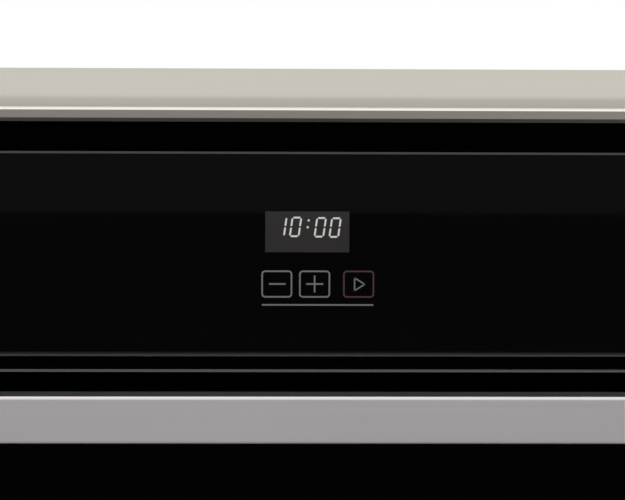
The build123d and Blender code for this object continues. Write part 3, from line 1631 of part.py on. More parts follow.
with BuildPart() as handle_posts:
    with BuildSketch(front_plane(front_y)):
        with Locations((0, handle_z)):
            with GridLocations(handle_post_spacing, 0, 2, 1):
                Circle(handle_post_radius)
    extrude(amount=handle_standoff)
    with BuildSketch(front_plane(glass_back_y + 2 * door_profile)):
        with Locations((0, handle_z)):
            with GridLocations(handle_post_spacing, 0, 2, 1):
                Circle(stud_radius)
    extrude(amount=glass_thickness + 2 * door_profile)
keep(handle_posts, "handle_posts")
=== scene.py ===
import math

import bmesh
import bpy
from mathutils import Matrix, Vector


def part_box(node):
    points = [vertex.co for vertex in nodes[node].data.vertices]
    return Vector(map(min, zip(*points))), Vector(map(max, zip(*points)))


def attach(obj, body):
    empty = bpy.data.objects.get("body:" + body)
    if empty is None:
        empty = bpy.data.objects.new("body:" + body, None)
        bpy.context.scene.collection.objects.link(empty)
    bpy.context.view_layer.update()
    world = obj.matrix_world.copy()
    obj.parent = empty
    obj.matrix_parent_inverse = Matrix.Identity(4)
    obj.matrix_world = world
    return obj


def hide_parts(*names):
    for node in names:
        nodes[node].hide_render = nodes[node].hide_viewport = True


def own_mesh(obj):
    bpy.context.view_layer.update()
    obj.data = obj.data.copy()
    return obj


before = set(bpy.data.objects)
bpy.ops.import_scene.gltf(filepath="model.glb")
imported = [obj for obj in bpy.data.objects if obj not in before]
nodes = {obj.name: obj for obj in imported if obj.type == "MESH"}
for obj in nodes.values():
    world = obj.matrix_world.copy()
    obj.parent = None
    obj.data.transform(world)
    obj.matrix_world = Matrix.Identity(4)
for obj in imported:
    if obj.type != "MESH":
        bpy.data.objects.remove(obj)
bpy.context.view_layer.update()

# %% [markdown]
# # A built-in gas oven
#
# The oven's metal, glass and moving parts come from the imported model, in metres. X runs to the
# right as the cook sees it, -Y comes out of the front, Z runs up. This lesson gives every part its
# finish and adds what is too fine for the model: the lit clock, the printed keys, screws,
# coiled springs and the marks round the knobs.

print("parts from the model:", len(nodes))

# %% [markdown]
# ## Writing materials as sums
#
# A procedural material is a chain of small nodes. Written node by node it is hard to read, so a
# socket is wrapped here in a class with Python's operators: `0.3 + 0.1 * grain` then adds the two
# Math nodes by itself. Everything that isn't a sum goes through one method, `node`.


# %% A socket with operators, and one method for every node
class Number:
    """One number that changes over a surface, or from copy to copy."""

    def __init__(self, owner, socket):
        self.owner = owner
        self.socket = socket

    def sum_of(self, operation, first, second):
        return self.owner.node("ShaderNodeMath", {"operation": operation}, {0: first, 1: second})

    def __add__(self, other):
        return self.sum_of("ADD", self, other)

    def __radd__(self, other):
        return self.sum_of("ADD", other, self)

    def __sub__(self, other):
        return self.sum_of("SUBTRACT", self, other)

    def __rsub__(self, other):
        return self.sum_of("SUBTRACT", other, self)

    def __mul__(self, other):
        return self.sum_of("MULTIPLY", self, other)

    def __rmul__(self, other):
        return self.sum_of("MULTIPLY", other, self)

    def __gt__(self, other):
        return self.sum_of("GREATER_THAN", self, other)

    def __lt__(self, other):
        return self.sum_of("LESS_THAN", self, other)

    def size(self):
        return self.owner.node("ShaderNodeMath", {"operation": "ABSOLUTE"}, {0: self})


class Nodes:
    """A node tree under construction."""

    def node(self, kind, settings, inputs, output=0):
        made = self.tree.nodes.new(kind)
        for setting, value in settings.items():
            setattr(made, setting, value)
        for socket, value in inputs.items():
            self.feed(made.inputs[socket], value)
        return Number(self, made.outputs[output])

    def feed(self, socket, value):
        if isinstance(value, Number):
            self.tree.links.new(value.socket, socket)
        elif isinstance(value, tuple) and len(value) == 3 and socket.type == "RGBA":
            socket.default_value = (*value, 1.0)
        else:
            socket.default_value = value


class Finish(Nodes):
    """A material: its nodes, and the surface shader they feed."""

    def __init__(self, name):
        self.material = bpy.data.materials.new(name)
        self.material.use_nodes = True
        self.tree = self.material.node_tree
        self.shader = self.tree.nodes["Principled BSDF"]
        self.place = self.node("ShaderNodeTexCoord", {}, {}, "Object")

    def stretched(self, x, y, z):
        """The place on the part, in metres, times a scale along each axis."""
        return self.node("ShaderNodeMapping", {}, {"Vector": self.place, "Scale": Vector((x, y, z))})

    def axes(self):
        split = self.node("ShaderNodeSeparateXYZ", {}, {"Vector": self.place})
        outputs = split.socket.node.outputs
        return [Number(self, outputs[name]) for name in "XYZ"]

    def noise(self, place, scale, detail=2.0, roughness=0.5):
        inputs = {"Vector": place, "Scale": scale, "Detail": detail, "Roughness": roughness}
        return self.node("ShaderNodeTexNoise", {}, inputs)

    def specks(self, place, scale):
        return self.node("ShaderNodeTexVoronoi", {}, {"Vector": place, "Scale": scale})

    def steps(self, number, low, high):
        """0 below low, 1 above high, and smooth between them."""
        inputs = {"Value": number, "From Min": low, "From Max": high}
        return self.node("ShaderNodeMapRange", {"interpolation_type": "SMOOTHSTEP"}, inputs)

    def colours(self, mask, first, second):
        inputs = {"Factor": mask, 6: first, 7: second}
        return self.node("ShaderNodeMix", {"data_type": "RGBA"}, inputs, 2)

    def shades(self, mask, colour, dark, light):
        """One colour, from its dark times to its light times as bright."""
        return self.colours(mask, tuple(dark * c for c in colour), tuple(light * c for c in colour))

    def relief(self, height, strength, depth):
        inputs = {"Height": height, "Strength": strength, "Distance": depth}
        return self.node("ShaderNodeBump", {}, inputs)

    def surface(self, **values):
        """Sets the shader's sockets: base_color=..., roughness=... and so on."""
        for name, value in values.items():
            self.feed(self.shader.inputs[name.replace("_", " ").title().replace("Ior", "IOR")], value)
        return self.material


def wear(material, *names):
    """Puts a finish on parts of the model."""
    for name in names:
        for slot in nodes[name].material_slots:
            slot.link = "OBJECT"
            slot.material = material


# %% [markdown]
# ## Satin steel
#
# The slanted trim, the strip below the door and the handle are stainless steel, brushed along
# their length. Brushing leaves thousands of hair-thin lines: noise that is stretched a
# hundredfold along X gives them, as small changes of roughness and a very shallow relief. A plain
# metal with one roughness would look like grey plastic beside it. On the trim's folded lip and the
# handle's rounded top, bands of the colour are scaled up as painted highlights, and scaled down as
# painted shade on the trim's small step and the handle's top face.


# %% Satin steel, with painted highlights and painted shade
def brushed(name, colour, roughness, contrast, painted_light_zones=()):
    """Steel with lines along X. A zone of painted light is its low z, its high z, its greatest y and its
    gain, above 1 for a painted highlight and below 1 for painted shade.
    """
    finish = Finish(name)
    streaks = finish.noise(finish.stretched(6, 900, 900), 1.0, 3.0, 0.65)
    clouds = finish.noise(finish.place, 9.0, 2.0)
    tone = finish.shades(0.75 * streaks + 0.25 * clouds, colour, 1 - contrast, 1 + contrast)
    y, z = finish.axes()[1:]
    gain = 1.0
    # Each band scales the colour by its gain: above 1 a painted highlight, below 1 painted shade.
    for low, high, outer, factor in painted_light_zones:
        gain = gain + (factor - 1.0) * ((z > low) * (z < high) * (y < outer))
    return finish.surface(
        base_color=finish.node("ShaderNodeVectorMath", {"operation": "SCALE"}, {0: tone, "Scale": gain}),
        metallic=1.0,
        roughness=roughness + 0.10 * (streaks - 0.5) + 0.04 * (clouds - 0.5),
        normal=finish.relief(streaks, 0.06, 0.0002),
    )


trim_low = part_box("top_trim")[0]
lip_z = trim_low.z + 0.0051
step_z = trim_low.z + 0.0016
bead_height, bead_depth, fold_depth = 0.0013, 0.0019, 0.0050
# Painted light on the trim's lip: a painted highlight on its rounded bead, the undercut beneath painted
# brighter, and painted shade on the small step under it.
trim_painted_light = [
    (lip_z, lip_z + bead_height, trim_low.y + bead_depth, 1.9),
    (step_z, lip_z, trim_low.y + fold_depth, 1.25),
    (trim_low.z, step_z, trim_low.y + fold_depth, 0.38),
]
bar_low, bar_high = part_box("handle_bar")
edge_z = bar_high.z - 0.0003
edge_height, edge_depth = 0.0010, 0.0020
# Painted light on the handle bar: a painted highlight along its rounded top edge, and painted shade on its
# top face.
bar_painted_light = [
    (edge_z - edge_height, edge_z, bar_low.y + edge_depth, 1.2),
    (edge_z, bar_high.z + edge_height, bar_high.y, 0.72),
]
wear(brushed("satin_trim_steel", (0.435, 0.418, 0.375), 0.34, 0.05, trim_painted_light), "top_trim")
wear(brushed("satin_strip_steel", (0.47, 0.452, 0.405), 0.34, 0.05), "bottom_trim")
wear(brushed("satin_handle_steel", (0.58, 0.56, 0.57), 0.36, 0.04, bar_painted_light), "handle_bar", "handle_posts")

# %% [markdown]
# ## Black glass
#
# The panel and the door are float glass that is printed black on the back. What one sees is the
# black print through a clear, perfectly smooth face, so the colour is nearly nothing. The
# bevelled edges are ground, not polished, so they are paler than the face. Their thin grey line
# above and their soft grey band below, which fades upwards, are painted glints, brighter than the
# ground glass alone, with a set strength for each edge. A mask on the depth behind the face finds
# them. The middle of the door is only tinted, so that the cook can look in: there the alpha falls,
# with a row of printed dots at the window's edge.


# %% Black glass, with its ground edges and their painted glints, and the door's window
polished_depth, upper_bevel, lower_bevel = 0.0002, 0.0013, 0.0031


def black_glass(name, node, gloss, top_painted_glint, low_painted_glint, window=None):
    """A glass plate of the model. Its window is a half width, a low z, a high z and a soft edge."""
    low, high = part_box(node)
    finish = Finish(name)
    x, y, z = finish.axes()
    film = finish.noise(finish.place, 14.0, 3.0)
    print_black = finish.colours(film, (0.0004, 0.0002, 0.0005), (0.0012, 0.0009, 0.0014))
    ground = (y > low.y + polished_depth) * (y < high.y - polished_depth)
    upper = z > (low.z + high.z) / 2
    # Painted glints on the ground bevels: a band on the lower bevel, brightest at the bottom and fading
    # upwards, and a line on the upper bevel's front, each at its own set strength.
    fading = 1.0 - finish.steps(z, low.z, low.z + lower_bevel)
    lower_painted_glint = 0.05 + 0.95 * (fading * fading)
    grit = finish.noise(finish.place, 1800.0, 2.0)
    upper_painted_glint = 0.01 + top_painted_glint * (y < low.y + upper_bevel)
    shade = upper * upper_painted_glint + (1.0 - upper) * (lower_painted_glint * low_painted_glint)
    edge = finish.colours(shade * (0.92 + 0.16 * grit), (0.0, 0.0, 0.0), (1.0, 1.0, 1.02))
    values = {
        "base_color": finish.colours(ground, print_black, edge),
        "roughness": 0.02 + 0.02 * film + 0.5 * ground,
        "metallic": 0.0,
        "specular_ior_level": gloss,
    }
    if window:
        half_width, bottom, top, fade = window
        inside_x = half_width - x.size()
        middle, half_height = (bottom + top) / 2, (top - bottom) / 2
        inside_z = half_height - (z - middle).size()
        inside = finish.node("ShaderNodeMath", {"operation": "MINIMUM"}, {0: inside_x, 1: inside_z})
        dots = finish.specks(finish.stretched(320, 0, 320), 1.0)
        clear = finish.steps(inside + 0.012 * (dots - 0.45), 0.0, fade)
        values["alpha"] = 1.0 - 0.42 * clear
    return finish.surface(**values)


# The last two numbers are the strengths of the painted glints on the upper and the lower bevel.
wear(black_glass("black_panel_glass", "control_glass", 0.052, 0.12, 0.19), "control_glass")
door_window = (0.205, 0.085, 0.385, 0.006)
wear(black_glass("black_door_glass", "door_outer_glass", 0.022, 0.17, 0.05, door_window),
     "door_outer_glass")

# %% [markdown]
# ## Clear glass
#
# The door's inner pane and the lamp are clear. Thin real glass hardly bends light, so a mostly
# see-through surface looks right. Its reflection is weak and a little soft, because a sharp
# mirror image of a lamp on a see-through surface leaves grain in the picture.

# %% Clear glass
clear = Finish("clear_heat_glass")
haze = clear.noise(clear.place, 22.0, 3.0)
clear.surface(
    base_color=(0.62, 0.68, 0.66),
    roughness=0.14 + 0.05 * haze,
    alpha=0.16 + 0.05 * haze,
    specular_ior_level=0.12,
)
wear(clear.material, "door_inner_glass", "lamp_lens", "lamp_bulb")

# %% [markdown]
# ## Enamel
#
# The cavity, its floor and the tray are steel under a glassy enamel: dark blue-grey with pale
# specks, and slightly wavy, because it flowed when it was fired. Round cells that are cut off
# low give separate specks, which plain noise would not.

# %% Speckled enamel
enamel = Finish("speckled_enamel")
cells = enamel.specks(enamel.place, 420.0)
flow = enamel.noise(enamel.place, 60.0, 2.0)
fleck = (1.0 - enamel.steps(cells, 0.10, 0.20)) * enamel.steps(flow, 0.35, 0.65)
enamel.surface(
    base_color=enamel.colours(fleck, (0.016, 0.019, 0.026), (0.20, 0.22, 0.25)),
    roughness=0.16 + 0.08 * flow,
    coat_weight=0.5,
    normal=enamel.relief(flow, 0.10, 0.0006),
)
wear(enamel.material, "cavity_liner", "cavity_floor_plate", "baking_tray")

# %% [markdown]
# ## Painted frame and door profiles
#
# Powder paint dries with a fine orange peel. It is the relief that shows, as soft broken
# highlights, so the colour stays almost even.


# %% Powder paint
def powder_paint(name, colour, roughness, gloss):
    finish = Finish(name)
    peel = finish.noise(finish.place, 1500.0, 2.0)
    dust = finish.noise(finish.place, 30.0, 4.0)
    return finish.surface(
        base_color=finish.shades(dust, colour, 0.85, 1.2),
        roughness=roughness + 0.10 * (dust - 0.5),
        specular_ior_level=gloss,
        normal=finish.relief(peel, 0.25, 0.0002),
    )


wear(powder_paint("black_frame_paint", (0.0022, 0.0020, 0.0023), 0.50, 0.04), "front_frame")
wear(
    powder_paint("dark_profile_paint", (0.020, 0.020, 0.021), 0.40, 0.3),
    "door_channel_left", "door_channel_right", "door_head_rail", "door_foot_rail",
)

# %% [markdown]
# ## Zinc-coated sheet
#
# The case, which the cabinet hides, is bare zinc-coated steel. Its coat froze into flat crystals
# of slightly different grey. Cells with one random number each give them.


# %% Zinc-coated sheet
def zinc_sheet(name, colour, crystal=120.0):
    finish = Finish(name)
    cells = finish.node("ShaderNodeTexVoronoi", {}, {"Vector": finish.place, "Scale": crystal}, "Color")
    shade = finish.node("ShaderNodeSeparateColor", {}, {"Color": cells})
    rolled = finish.noise(finish.stretched(3, 500, 500), 1.0, 2.0)
    mask = 0.6 * shade + 0.4 * rolled
    return finish.surface(
        base_color=finish.shades(mask, colour, 0.86, 1.10),
        metallic=0.85,
        roughness=0.40 + 0.14 * (shade - 0.5),
        normal=finish.relief(rolled, 0.05, 0.0002),
    )


wear(
    zinc_sheet("zinc_coated_sheet", (0.50, 0.51, 0.52)),
    "base_pan", "side_panel_left", "side_panel_right", "top_cover", "back_panel",
    "service_recess", "flue_duct", "injector_bracket", "burner_bracket", "lamp_housing",
)
wear(
    zinc_sheet("bright_zinc_plate", (0.56, 0.56, 0.54), 400.0),
    "hinge_receivers", "hinge_housings", "hinge_arms", "spring_rods", "tap_spindle", "grill_spindle",
)

# %% [markdown]
# ## Wool, seal and the hot parts
#
# Mineral wool is a mat of fibres, so its relief is deep and its colour patchy. The door's seal is
# a braid: two sets of slanted threads, made from a wave across another. The heater's sheath and
# the burner have been hot, which stains steel brown to blue.

# %% Mineral wool and braided seal
wool = Finish("mineral_wool")
fibres = wool.noise(wool.stretched(90, 90, 260), 4.0, 5.0, 0.7)
tufts = wool.noise(wool.place, 35.0, 3.0)
wool.surface(
    base_color=wool.colours(0.5 * fibres + 0.5 * tufts, (0.30, 0.26, 0.18), (0.66, 0.60, 0.46)),
    roughness=0.95,
    normal=wool.relief(fibres, 0.8, 0.002),
)
wear(wool.material, "insulation_jacket")

seal = Finish("braided_seal")
x, y, z = seal.axes()
thread_rate = 1500.0
over = seal.node("ShaderNodeMath", {"operation": "SINE"}, {0: thread_rate * (x + z)})
under = seal.node("ShaderNodeMath", {"operation": "SINE"}, {0: thread_rate * (x - z)})
threads = 0.5 + 0.25 * (over + under)
seal.surface(
    base_color=seal.colours(threads, (0.010, 0.010, 0.010), (0.055, 0.054, 0.052)),
    roughness=0.75 - 0.15 * threads,
    normal=seal.relief(threads, 0.6, 0.0008),
)
wear(seal.material, "door_gasket")


# %% Heat-stained steel
def stained_steel(name, cold, hot, roughness):
    finish = Finish(name)
    heat = finish.noise(finish.place, 16.0, 3.0)
    grain = finish.noise(finish.place, 700.0, 2.0)
    return finish.surface(
        base_color=finish.colours(finish.steps(heat, 0.35, 0.65), cold, hot),
        metallic=1.0,
        roughness=roughness + 0.12 * (grain - 0.5),
        normal=finish.relief(grain, 0.10, 0.0002),
    )


wear(stained_steel("burner_steel", (0.40, 0.38, 0.35), (0.30, 0.22, 0.16), 0.34), "burner_tube")
wear(stained_steel("heater_sheath", (0.10, 0.095, 0.09), (0.17, 0.15, 0.13), 0.48),
     "grill_element", "grill_hanger")
wear(stained_steel("chromed_wire", (0.60, 0.60, 0.60), (0.54, 0.53, 0.51), 0.12),
     "wire_rack", "side_rack_left", "side_rack_right")
wear(stained_steel("copper", (0.62, 0.30, 0.18), (0.45, 0.22, 0.13), 0.30), "thermocouple")

# %% [markdown]
# ## Brass, cast metal and plastics
#
# Machined brass keeps the tool's fine rings, cast aluminium the sand's grain, and moulded
# plastic a leathery texture from its mould. Each is the same recipe, a grain that drives
# roughness and relief, with the scale and depth of its own process.


# %% Grained metals and plastics
def grained(name, colour, metallic, roughness, scale, strength, depth=0.0003):
    finish = Finish(name)
    grain = finish.noise(finish.place, scale, 3.0, 0.6)
    patches = finish.noise(finish.place, 40.0, 2.0)
    return finish.surface(
        base_color=finish.shades(0.5 * grain + 0.5 * patches, colour, 0.82, 1.18),
        metallic=metallic,
        roughness=roughness + 0.14 * (patches - 0.5),
        normal=finish.relief(grain, strength, depth),
    )


wear(grained("machined_brass", (0.60, 0.43, 0.17), 1.0, 0.26, 900.0, 0.08),
     "burner_injector", "gas_inlet_elbow", "tap_plug", "cable_gland")
wear(grained("cast_aluminium", (0.52, 0.53, 0.54), 1.0, 0.46, 1300.0, 0.30), "gas_tap_body")
wear(grained("drawn_aluminium", (0.56, 0.57, 0.58), 1.0, 0.30, 400.0, 0.05),
     "gas_manifold_pipe", "burner_supply_pipe")
wear(powder_paint("black_housing", (0.0004, 0.0003, 0.0004), 0.60, 0.008), "control_housing")
wear(grained("black_moulding", (0.012, 0.012, 0.013), 0.0, 0.50, 1600.0, 0.35),
     "grill_switch", "terminal_box", "spark_module")
wear(grained("glazed_ceramic", (0.70, 0.69, 0.65), 0.0, 0.18, 200.0, 0.03), "spark_electrode")
wear(grained("gloss_black_ring", (0.006, 0.006, 0.006), 0.0, 0.10, 300.0, 0.02), "knob_bezels")
wear(brushed("spun_knob_steel", (0.43, 0.42, 0.425), 0.30, 0.05), "gas_knob", "grill_knob")

# %% [markdown]
# ## Circuit board and clock body
#
# The board is green lacquer over copper tracks. Bands of a stepped noise stand for the tracks,
# and everything that rises above the board is a black part, so the height along Y picks the
# colour.

# %% Circuit board and clock body
board = Finish("circuit_board")
face_depth, parts_start = 0.0101, 0.0020
tracks = board.steps(board.noise(board.stretched(900, 1, 220), 0.4, 0.0), 0.49, 0.52)
lacquer = board.colours(tracks, (0.012, 0.085, 0.030), (0.03, 0.16, 0.06))
raised = board.axes()[1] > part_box("timer_board")[0].y + face_depth + parts_start
board.surface(
    base_color=board.colours(raised, lacquer, (0.012, 0.012, 0.013)),
    roughness=0.38 + 0.1 * tracks,
)
wear(board.material, "timer_board")
wear(grained("clock_body", (0.010, 0.010, 0.010), 0.0, 0.30, 500.0, 0.05), "display_module")

# %% [markdown]
# ## Printed and lit marks
#
# The clock's window, its digits and the key signs are flat shapes on the glass, a tenth of a
# millimetre thick. They are cut as polygons and given that thickness, because text objects or
# image maps would blur at this size. The digits are made of seven bars each, as on the real
# display, and lean by eight degrees.


# %% Flat shapes on the glass
glass_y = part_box("control_glass")[0].y
print("glass face at y =", round(glass_y, 4))


def plate(name, outlines, front, back, finish, body="chassis"):
    """Closed outlines of (x, z) points in metres, as one piece between two depths."""
    mesh = bpy.data.meshes.new(name)
    work = bmesh.new()
    for outline in outlines:
        face = work.faces.new([work.verts.new((x, front, z)) for x, z in outline])
        if face.normal.y == 0:
            face.normal_update()
        if face.normal.y > 0:
            face.normal_flip()
        made = bmesh.ops.extrude_face_region(work, geom=[face], use_keep_orig=True)
        for vertex in [g for g in made["geom"] if isinstance(g, bmesh.types.BMVert)]:
            vertex.co.y = back
    bmesh.ops.recalc_face_normals(work, faces=work.faces)
    work.to_mesh(mesh)
    work.free()
    piece = bpy.data.objects.new(name, mesh)
    bpy.context.scene.collection.objects.link(piece)
    mesh.materials.append(finish)
    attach(piece, body)


def stroke(points, width, closed=False):
    """The outlines of a line of even width through points, one four-sided outline per run."""
    runs = []
    last = len(points) if closed else len(points) - 1
    for i in range(last):
        a, b = Vector(points[i]), Vector(points[(i + 1) % len(points)])
        along = (b - a).normalized() * width / 2
        side = Vector((-along.y, along.x))
        if closed:
            a, b = a - along, b + along
        runs.append([tuple(p) for p in (a + side, a - side, b - side, b + side)])
    return runs


def rounded_ring(left, right, low, high, radius, width):
    """The outlines of a rounded frame, as a chain of four-sided pieces."""
    outer, inner = [], []
    centres = [
        (right - radius, high - radius, 0), (left + radius, high - radius, 90),
        (left + radius, low + radius, 180), (right - radius, low + radius, 270),
    ]
    corner_steps = 4
    for x, z, start in centres:
        for step in range(corner_steps + 1):
            angle = math.radians(start + 90 / corner_steps * step)
            for ring, r in ((outer, radius + width / 2), (inner, radius - width / 2)):
                ring.append((x + r * math.cos(angle), z + r * math.sin(angle)))
    count = len(outer)
    return [
        [outer[i], outer[(i + 1) % count], inner[(i + 1) % count], inner[i]] for i in range(count)
    ]


def glowing(name, colour, strength):
    finish = Finish(name)
    uneven = finish.noise(finish.place, 900.0, 2.0)
    return finish.surface(
        base_color=tuple(0.3 * c for c in colour),
        roughness=0.3 + 0.1 * uneven,
        emission_color=finish.shades(uneven, colour, 0.9, 1.0),
        emission_strength=strength,
    )


def printed(name, colour):
    finish = Finish(name)
    ink = finish.noise(finish.place, 2500.0, 2.0)
    return finish.surface(
        base_color=finish.shades(ink, colour, 0.85, 1.1),
        roughness=0.35 + 0.1 * ink,
    )


# %% Clock window and its digits
window_left, window_right, window_low, window_high = -0.0207, 0.0163, 0.5200, 0.5380
ink_depth = 0.00006
window_finish = Finish("smoked_clock_window")
sheen = window_finish.noise(window_finish.place, 60.0, 2.0)
window_finish.surface(
    base_color=window_finish.colours(sheen, (0.048, 0.0455, 0.0445), (0.056, 0.0530, 0.0520)),
    roughness=0.06 + 0.04 * sheen,
    specular_ior_level=0.06,
)
window_outline = [
    (window_left, window_low), (window_right, window_low),
    (window_right, window_high), (window_left, window_high),
]
plate("clock_window", [window_outline], glass_y - ink_depth, glass_y + ink_depth,
      window_finish.material)

digit_height = 0.0082
digit_width = 0.00385
digit_bar = 0.0008
digit_lean = math.tan(math.radians(8.1))
digit_low = 0.52696
row_slope = -0.0147
row = (("1", -0.0144), ("0", -0.00795), ("0", 0.0029), ("0", 0.00945))
colon_middle = -0.0026
colon_heights = (0.0041, 0.0071)
digit_bars = {
    "a": ((0, 1), (1, 1)), "b": ((1, 1), (1, 0.5)), "c": ((1, 0.5), (1, 0)),
    "d": ((1, 0), (0, 0)), "e": ((0, 0), (0, 0.5)), "f": ((0, 0.5), (0, 1)),
    "g": ((0, 0.5), (1, 0.5)),
}
digit_signs = {"0": "abcdef", "1": "bc"}


def digit(sign, middle_x, low_z):
    """The lit bars of one leaning digit, each with pointed ends."""
    shapes = []
    for bar in digit_signs[sign]:
        (ax, az), (bx, bz) = digit_bars[bar]
        a = Vector(((ax - 0.5) * digit_width, az * digit_height))
        b = Vector(((bx - 0.5) * digit_width, bz * digit_height))
        along = (b - a).normalized()
        side = Vector((-along.y, along.x)) * digit_bar / 2
        tip = along * digit_bar / 2
        gap = along * digit_bar * 0.25
        a, b = a + gap, b - gap
        outline = [a, a + tip + side, b - tip + side, b, b - tip - side, a + tip - side]
        shapes.append([(middle_x + p.x + p.y * digit_lean, low_z + p.y) for p in outline])
    return shapes


shown = []
for sign, middle in row:
    shown += digit(sign, middle, digit_low + row_slope * middle)
half = digit_bar * 0.55
for height in colon_heights:
    x = colon_middle + height * digit_lean
    z = digit_low + height
    shown.append([(x - half, z - half), (x + half, z - half), (x + half, z + half), (x - half, z + half)])
clock_light = glowing("clock_digits_light", (0.80, 0.80, 0.78), 0.55)
plate("clock_digits", shown, glass_y - 2 * ink_depth, glass_y, clock_light)
print("lit bars:", len(shown))

# %% Touch keys
key_line, start_line = 0.0007, 0.0006
key_low, key_high, key_corner = 0.5003, 0.5116, 0.0013
minus_key, plus_key, start_key = (-0.0220, -0.0091), (-0.0054, 0.0076), (0.0140, 0.0270)
minus_sign = [(-0.0190, 0.50598), (-0.0117, 0.50598)]
plus_across = [(-0.0026, 0.5060), (0.0049, 0.5060)]
plus_above = [(0.0011, 0.50635), (0.0011, 0.5097)]
plus_below = [(0.0011, 0.5023), (0.0011, 0.50565)]
start_sign = [(0.0187, 0.5031), (0.0187, 0.5087), (0.0232, 0.5059)]
line_below = [(-0.0221, 0.49675), (0.0270, 0.49675)]
grey_ink = printed("grey_key_print", (0.25, 0.248, 0.25))
red_ink = printed("red_key_print", (0.082, 0.019, 0.018))
grey_keys = []
for key in (minus_key, plus_key):
    grey_keys += rounded_ring(*key, key_low, key_high, key_corner, key_line)
for sign in (minus_sign, plus_across, plus_above, plus_below):
    grey_keys += stroke(sign, key_line)
grey_keys += stroke(start_sign, start_line, closed=True)
grey_keys += stroke(line_below, key_line)
plate("touch_key_signs", grey_keys, glass_y - ink_depth, glass_y + ink_depth, grey_ink)
red_key = rounded_ring(*start_key, key_low, key_high, key_corner, key_line)
plate("touch_start_frame", red_key, glass_y - ink_depth, glass_y + ink_depth, red_ink)

# %% [markdown]
# ## Repeats by Geometry Nodes
#
# Screws, dots and the turns of a spring repeat. Each is described once as a tree with named
# sizes, and the tree sets out the copies. Its last nodes make the copies real and give them their
# finish. The result is kept as a plain mesh, because only that reaches the exported model.


# %% A layout tree, and a piece made by it
class Layout(Nodes):
    """A geometry tree that puts one shape at every place of a mesh."""

    kinds = {"Direction": "NodeSocketVector", "Finish": "NodeSocketMaterial"}

    def __init__(self, name, *labels):
        self.tree = bpy.data.node_groups.new(name, "GeometryNodeTree")
        ports = self.tree.interface
        ports.new_socket("Places", in_out="INPUT", socket_type="NodeSocketGeometry")
        for label in (*labels, "Finish"):
            ports.new_socket(label, in_out="INPUT", socket_type=self.kinds.get(label, "NodeSocketFloat"))
        ports.new_socket("Copies", in_out="OUTPUT", socket_type="NodeSocketGeometry")
        self.entry = self.tree.nodes.new("NodeGroupInput")

    def size(self, label):
        return Number(self, self.entry.outputs[label])

    def copies(self, shape, **inputs):
        """Ends the tree: the shape at every place, made real and in its finish."""
        inputs = {name.title(): value for name, value in inputs.items()}
        set_out = self.node(
            "GeometryNodeInstanceOnPoints", {}, {"Points": self.size("Places"), "Instance": shape, **inputs}
        )
        real = self.node("GeometryNodeRealizeInstances", {}, {"Geometry": set_out})
        worn = self.node("GeometryNodeSetMaterial", {}, {"Geometry": real, "Material": self.size("Finish")})
        leaving = self.tree.nodes.new("NodeGroupOutput")
        self.tree.links.new(worn.socket, leaving.inputs["Copies"])

    def piece(self, name, places, body="chassis", slot=None, **values):
        """A plain mesh that this tree makes at the places."""
        mesh = bpy.data.meshes.new(name)
        mesh.from_pydata(places, [], [])
        made = bpy.data.objects.new(name, mesh)
        bpy.context.scene.collection.objects.link(made)
        modifier = made.modifiers.new("layout", "NODES")
        modifier.node_group = self.tree
        for port in self.tree.interface.items_tree:
            key = port.name.lower().replace(" ", "_")
            if port.in_out == "INPUT" and key in values:
                modifier[port.identifier] = values[key]
        graph = bpy.context.evaluated_depsgraph_get()
        plain = bpy.data.meshes.new_from_object(made.evaluated_get(graph))
        made.modifiers.remove(modifier)
        made.data = plain
        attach(made, body)
        print(name, "faces:", len(plain.polygons))
        return made


# %% [markdown]
# ## Screws of the case
#
# Sheet screws with a hexagon head on a round flange hold the case's panels. Two cones that hardly
# taper make one head, and every head is turned by another angle, because nobody lines screws up.

# %% Screws
screw = Layout("screw_row", "Flange radius", "Head radius", "Head height", "Direction")


def cone(sides, radius, taper, height):
    inputs = {"Vertices": sides, "Radius Top": radius * taper, "Radius Bottom": radius, "Depth": height}
    return screw.node("GeometryNodeMeshCone", {}, inputs)


flange = cone(18, screw.size("Flange radius"), 0.88, screw.size("Head height") * 0.3)
hexagon = cone(6, screw.size("Head radius"), 0.9, screw.size("Head height"))
head = screw.node("GeometryNodeJoinGeometry", {}, {"Geometry": flange})
screw.tree.links.new(hexagon.socket, head.socket.node.inputs["Geometry"])
upright = screw.node(
    "FunctionNodeAlignRotationToVector", {"axis": "Z"}, {"Vector": screw.size("Direction")}
)
any_turn = screw.node("FunctionNodeRandomValue", {"data_type": "FLOAT"}, {2: 0.0, 3: 1.05, "Seed": 7}, 1)
turn = screw.node("ShaderNodeCombineXYZ", {}, {"Z": any_turn})
spin = screw.node("FunctionNodeEulerToRotation", {}, {"Euler": turn})
facing = screw.node(
    "FunctionNodeRotateRotation", {"rotation_space": "LOCAL"}, {"Rotation": upright, "Rotate By": spin}
)
screw.copies(head, rotation=facing)

screw_zinc = grained("screw_zinc", (0.42, 0.43, 0.45), 1.0, 0.32, 700.0, 0.10)
case_low, case_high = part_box("side_panel_left")
back_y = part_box("back_panel")[1].y
top_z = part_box("top_cover")[1].z
side_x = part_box("side_panel_right")[1].x
edge_gap, top_gap, front_gap, rear_gap = 0.008, 0.012, 0.03, 0.02
side_rows = (case_low.z + edge_gap + 0.006, 0.5)


def spread(low, high, count=5):
    """Places at even distances from low to high."""
    return [low + i * (high - low) / (count - 1) for i in range(count)]


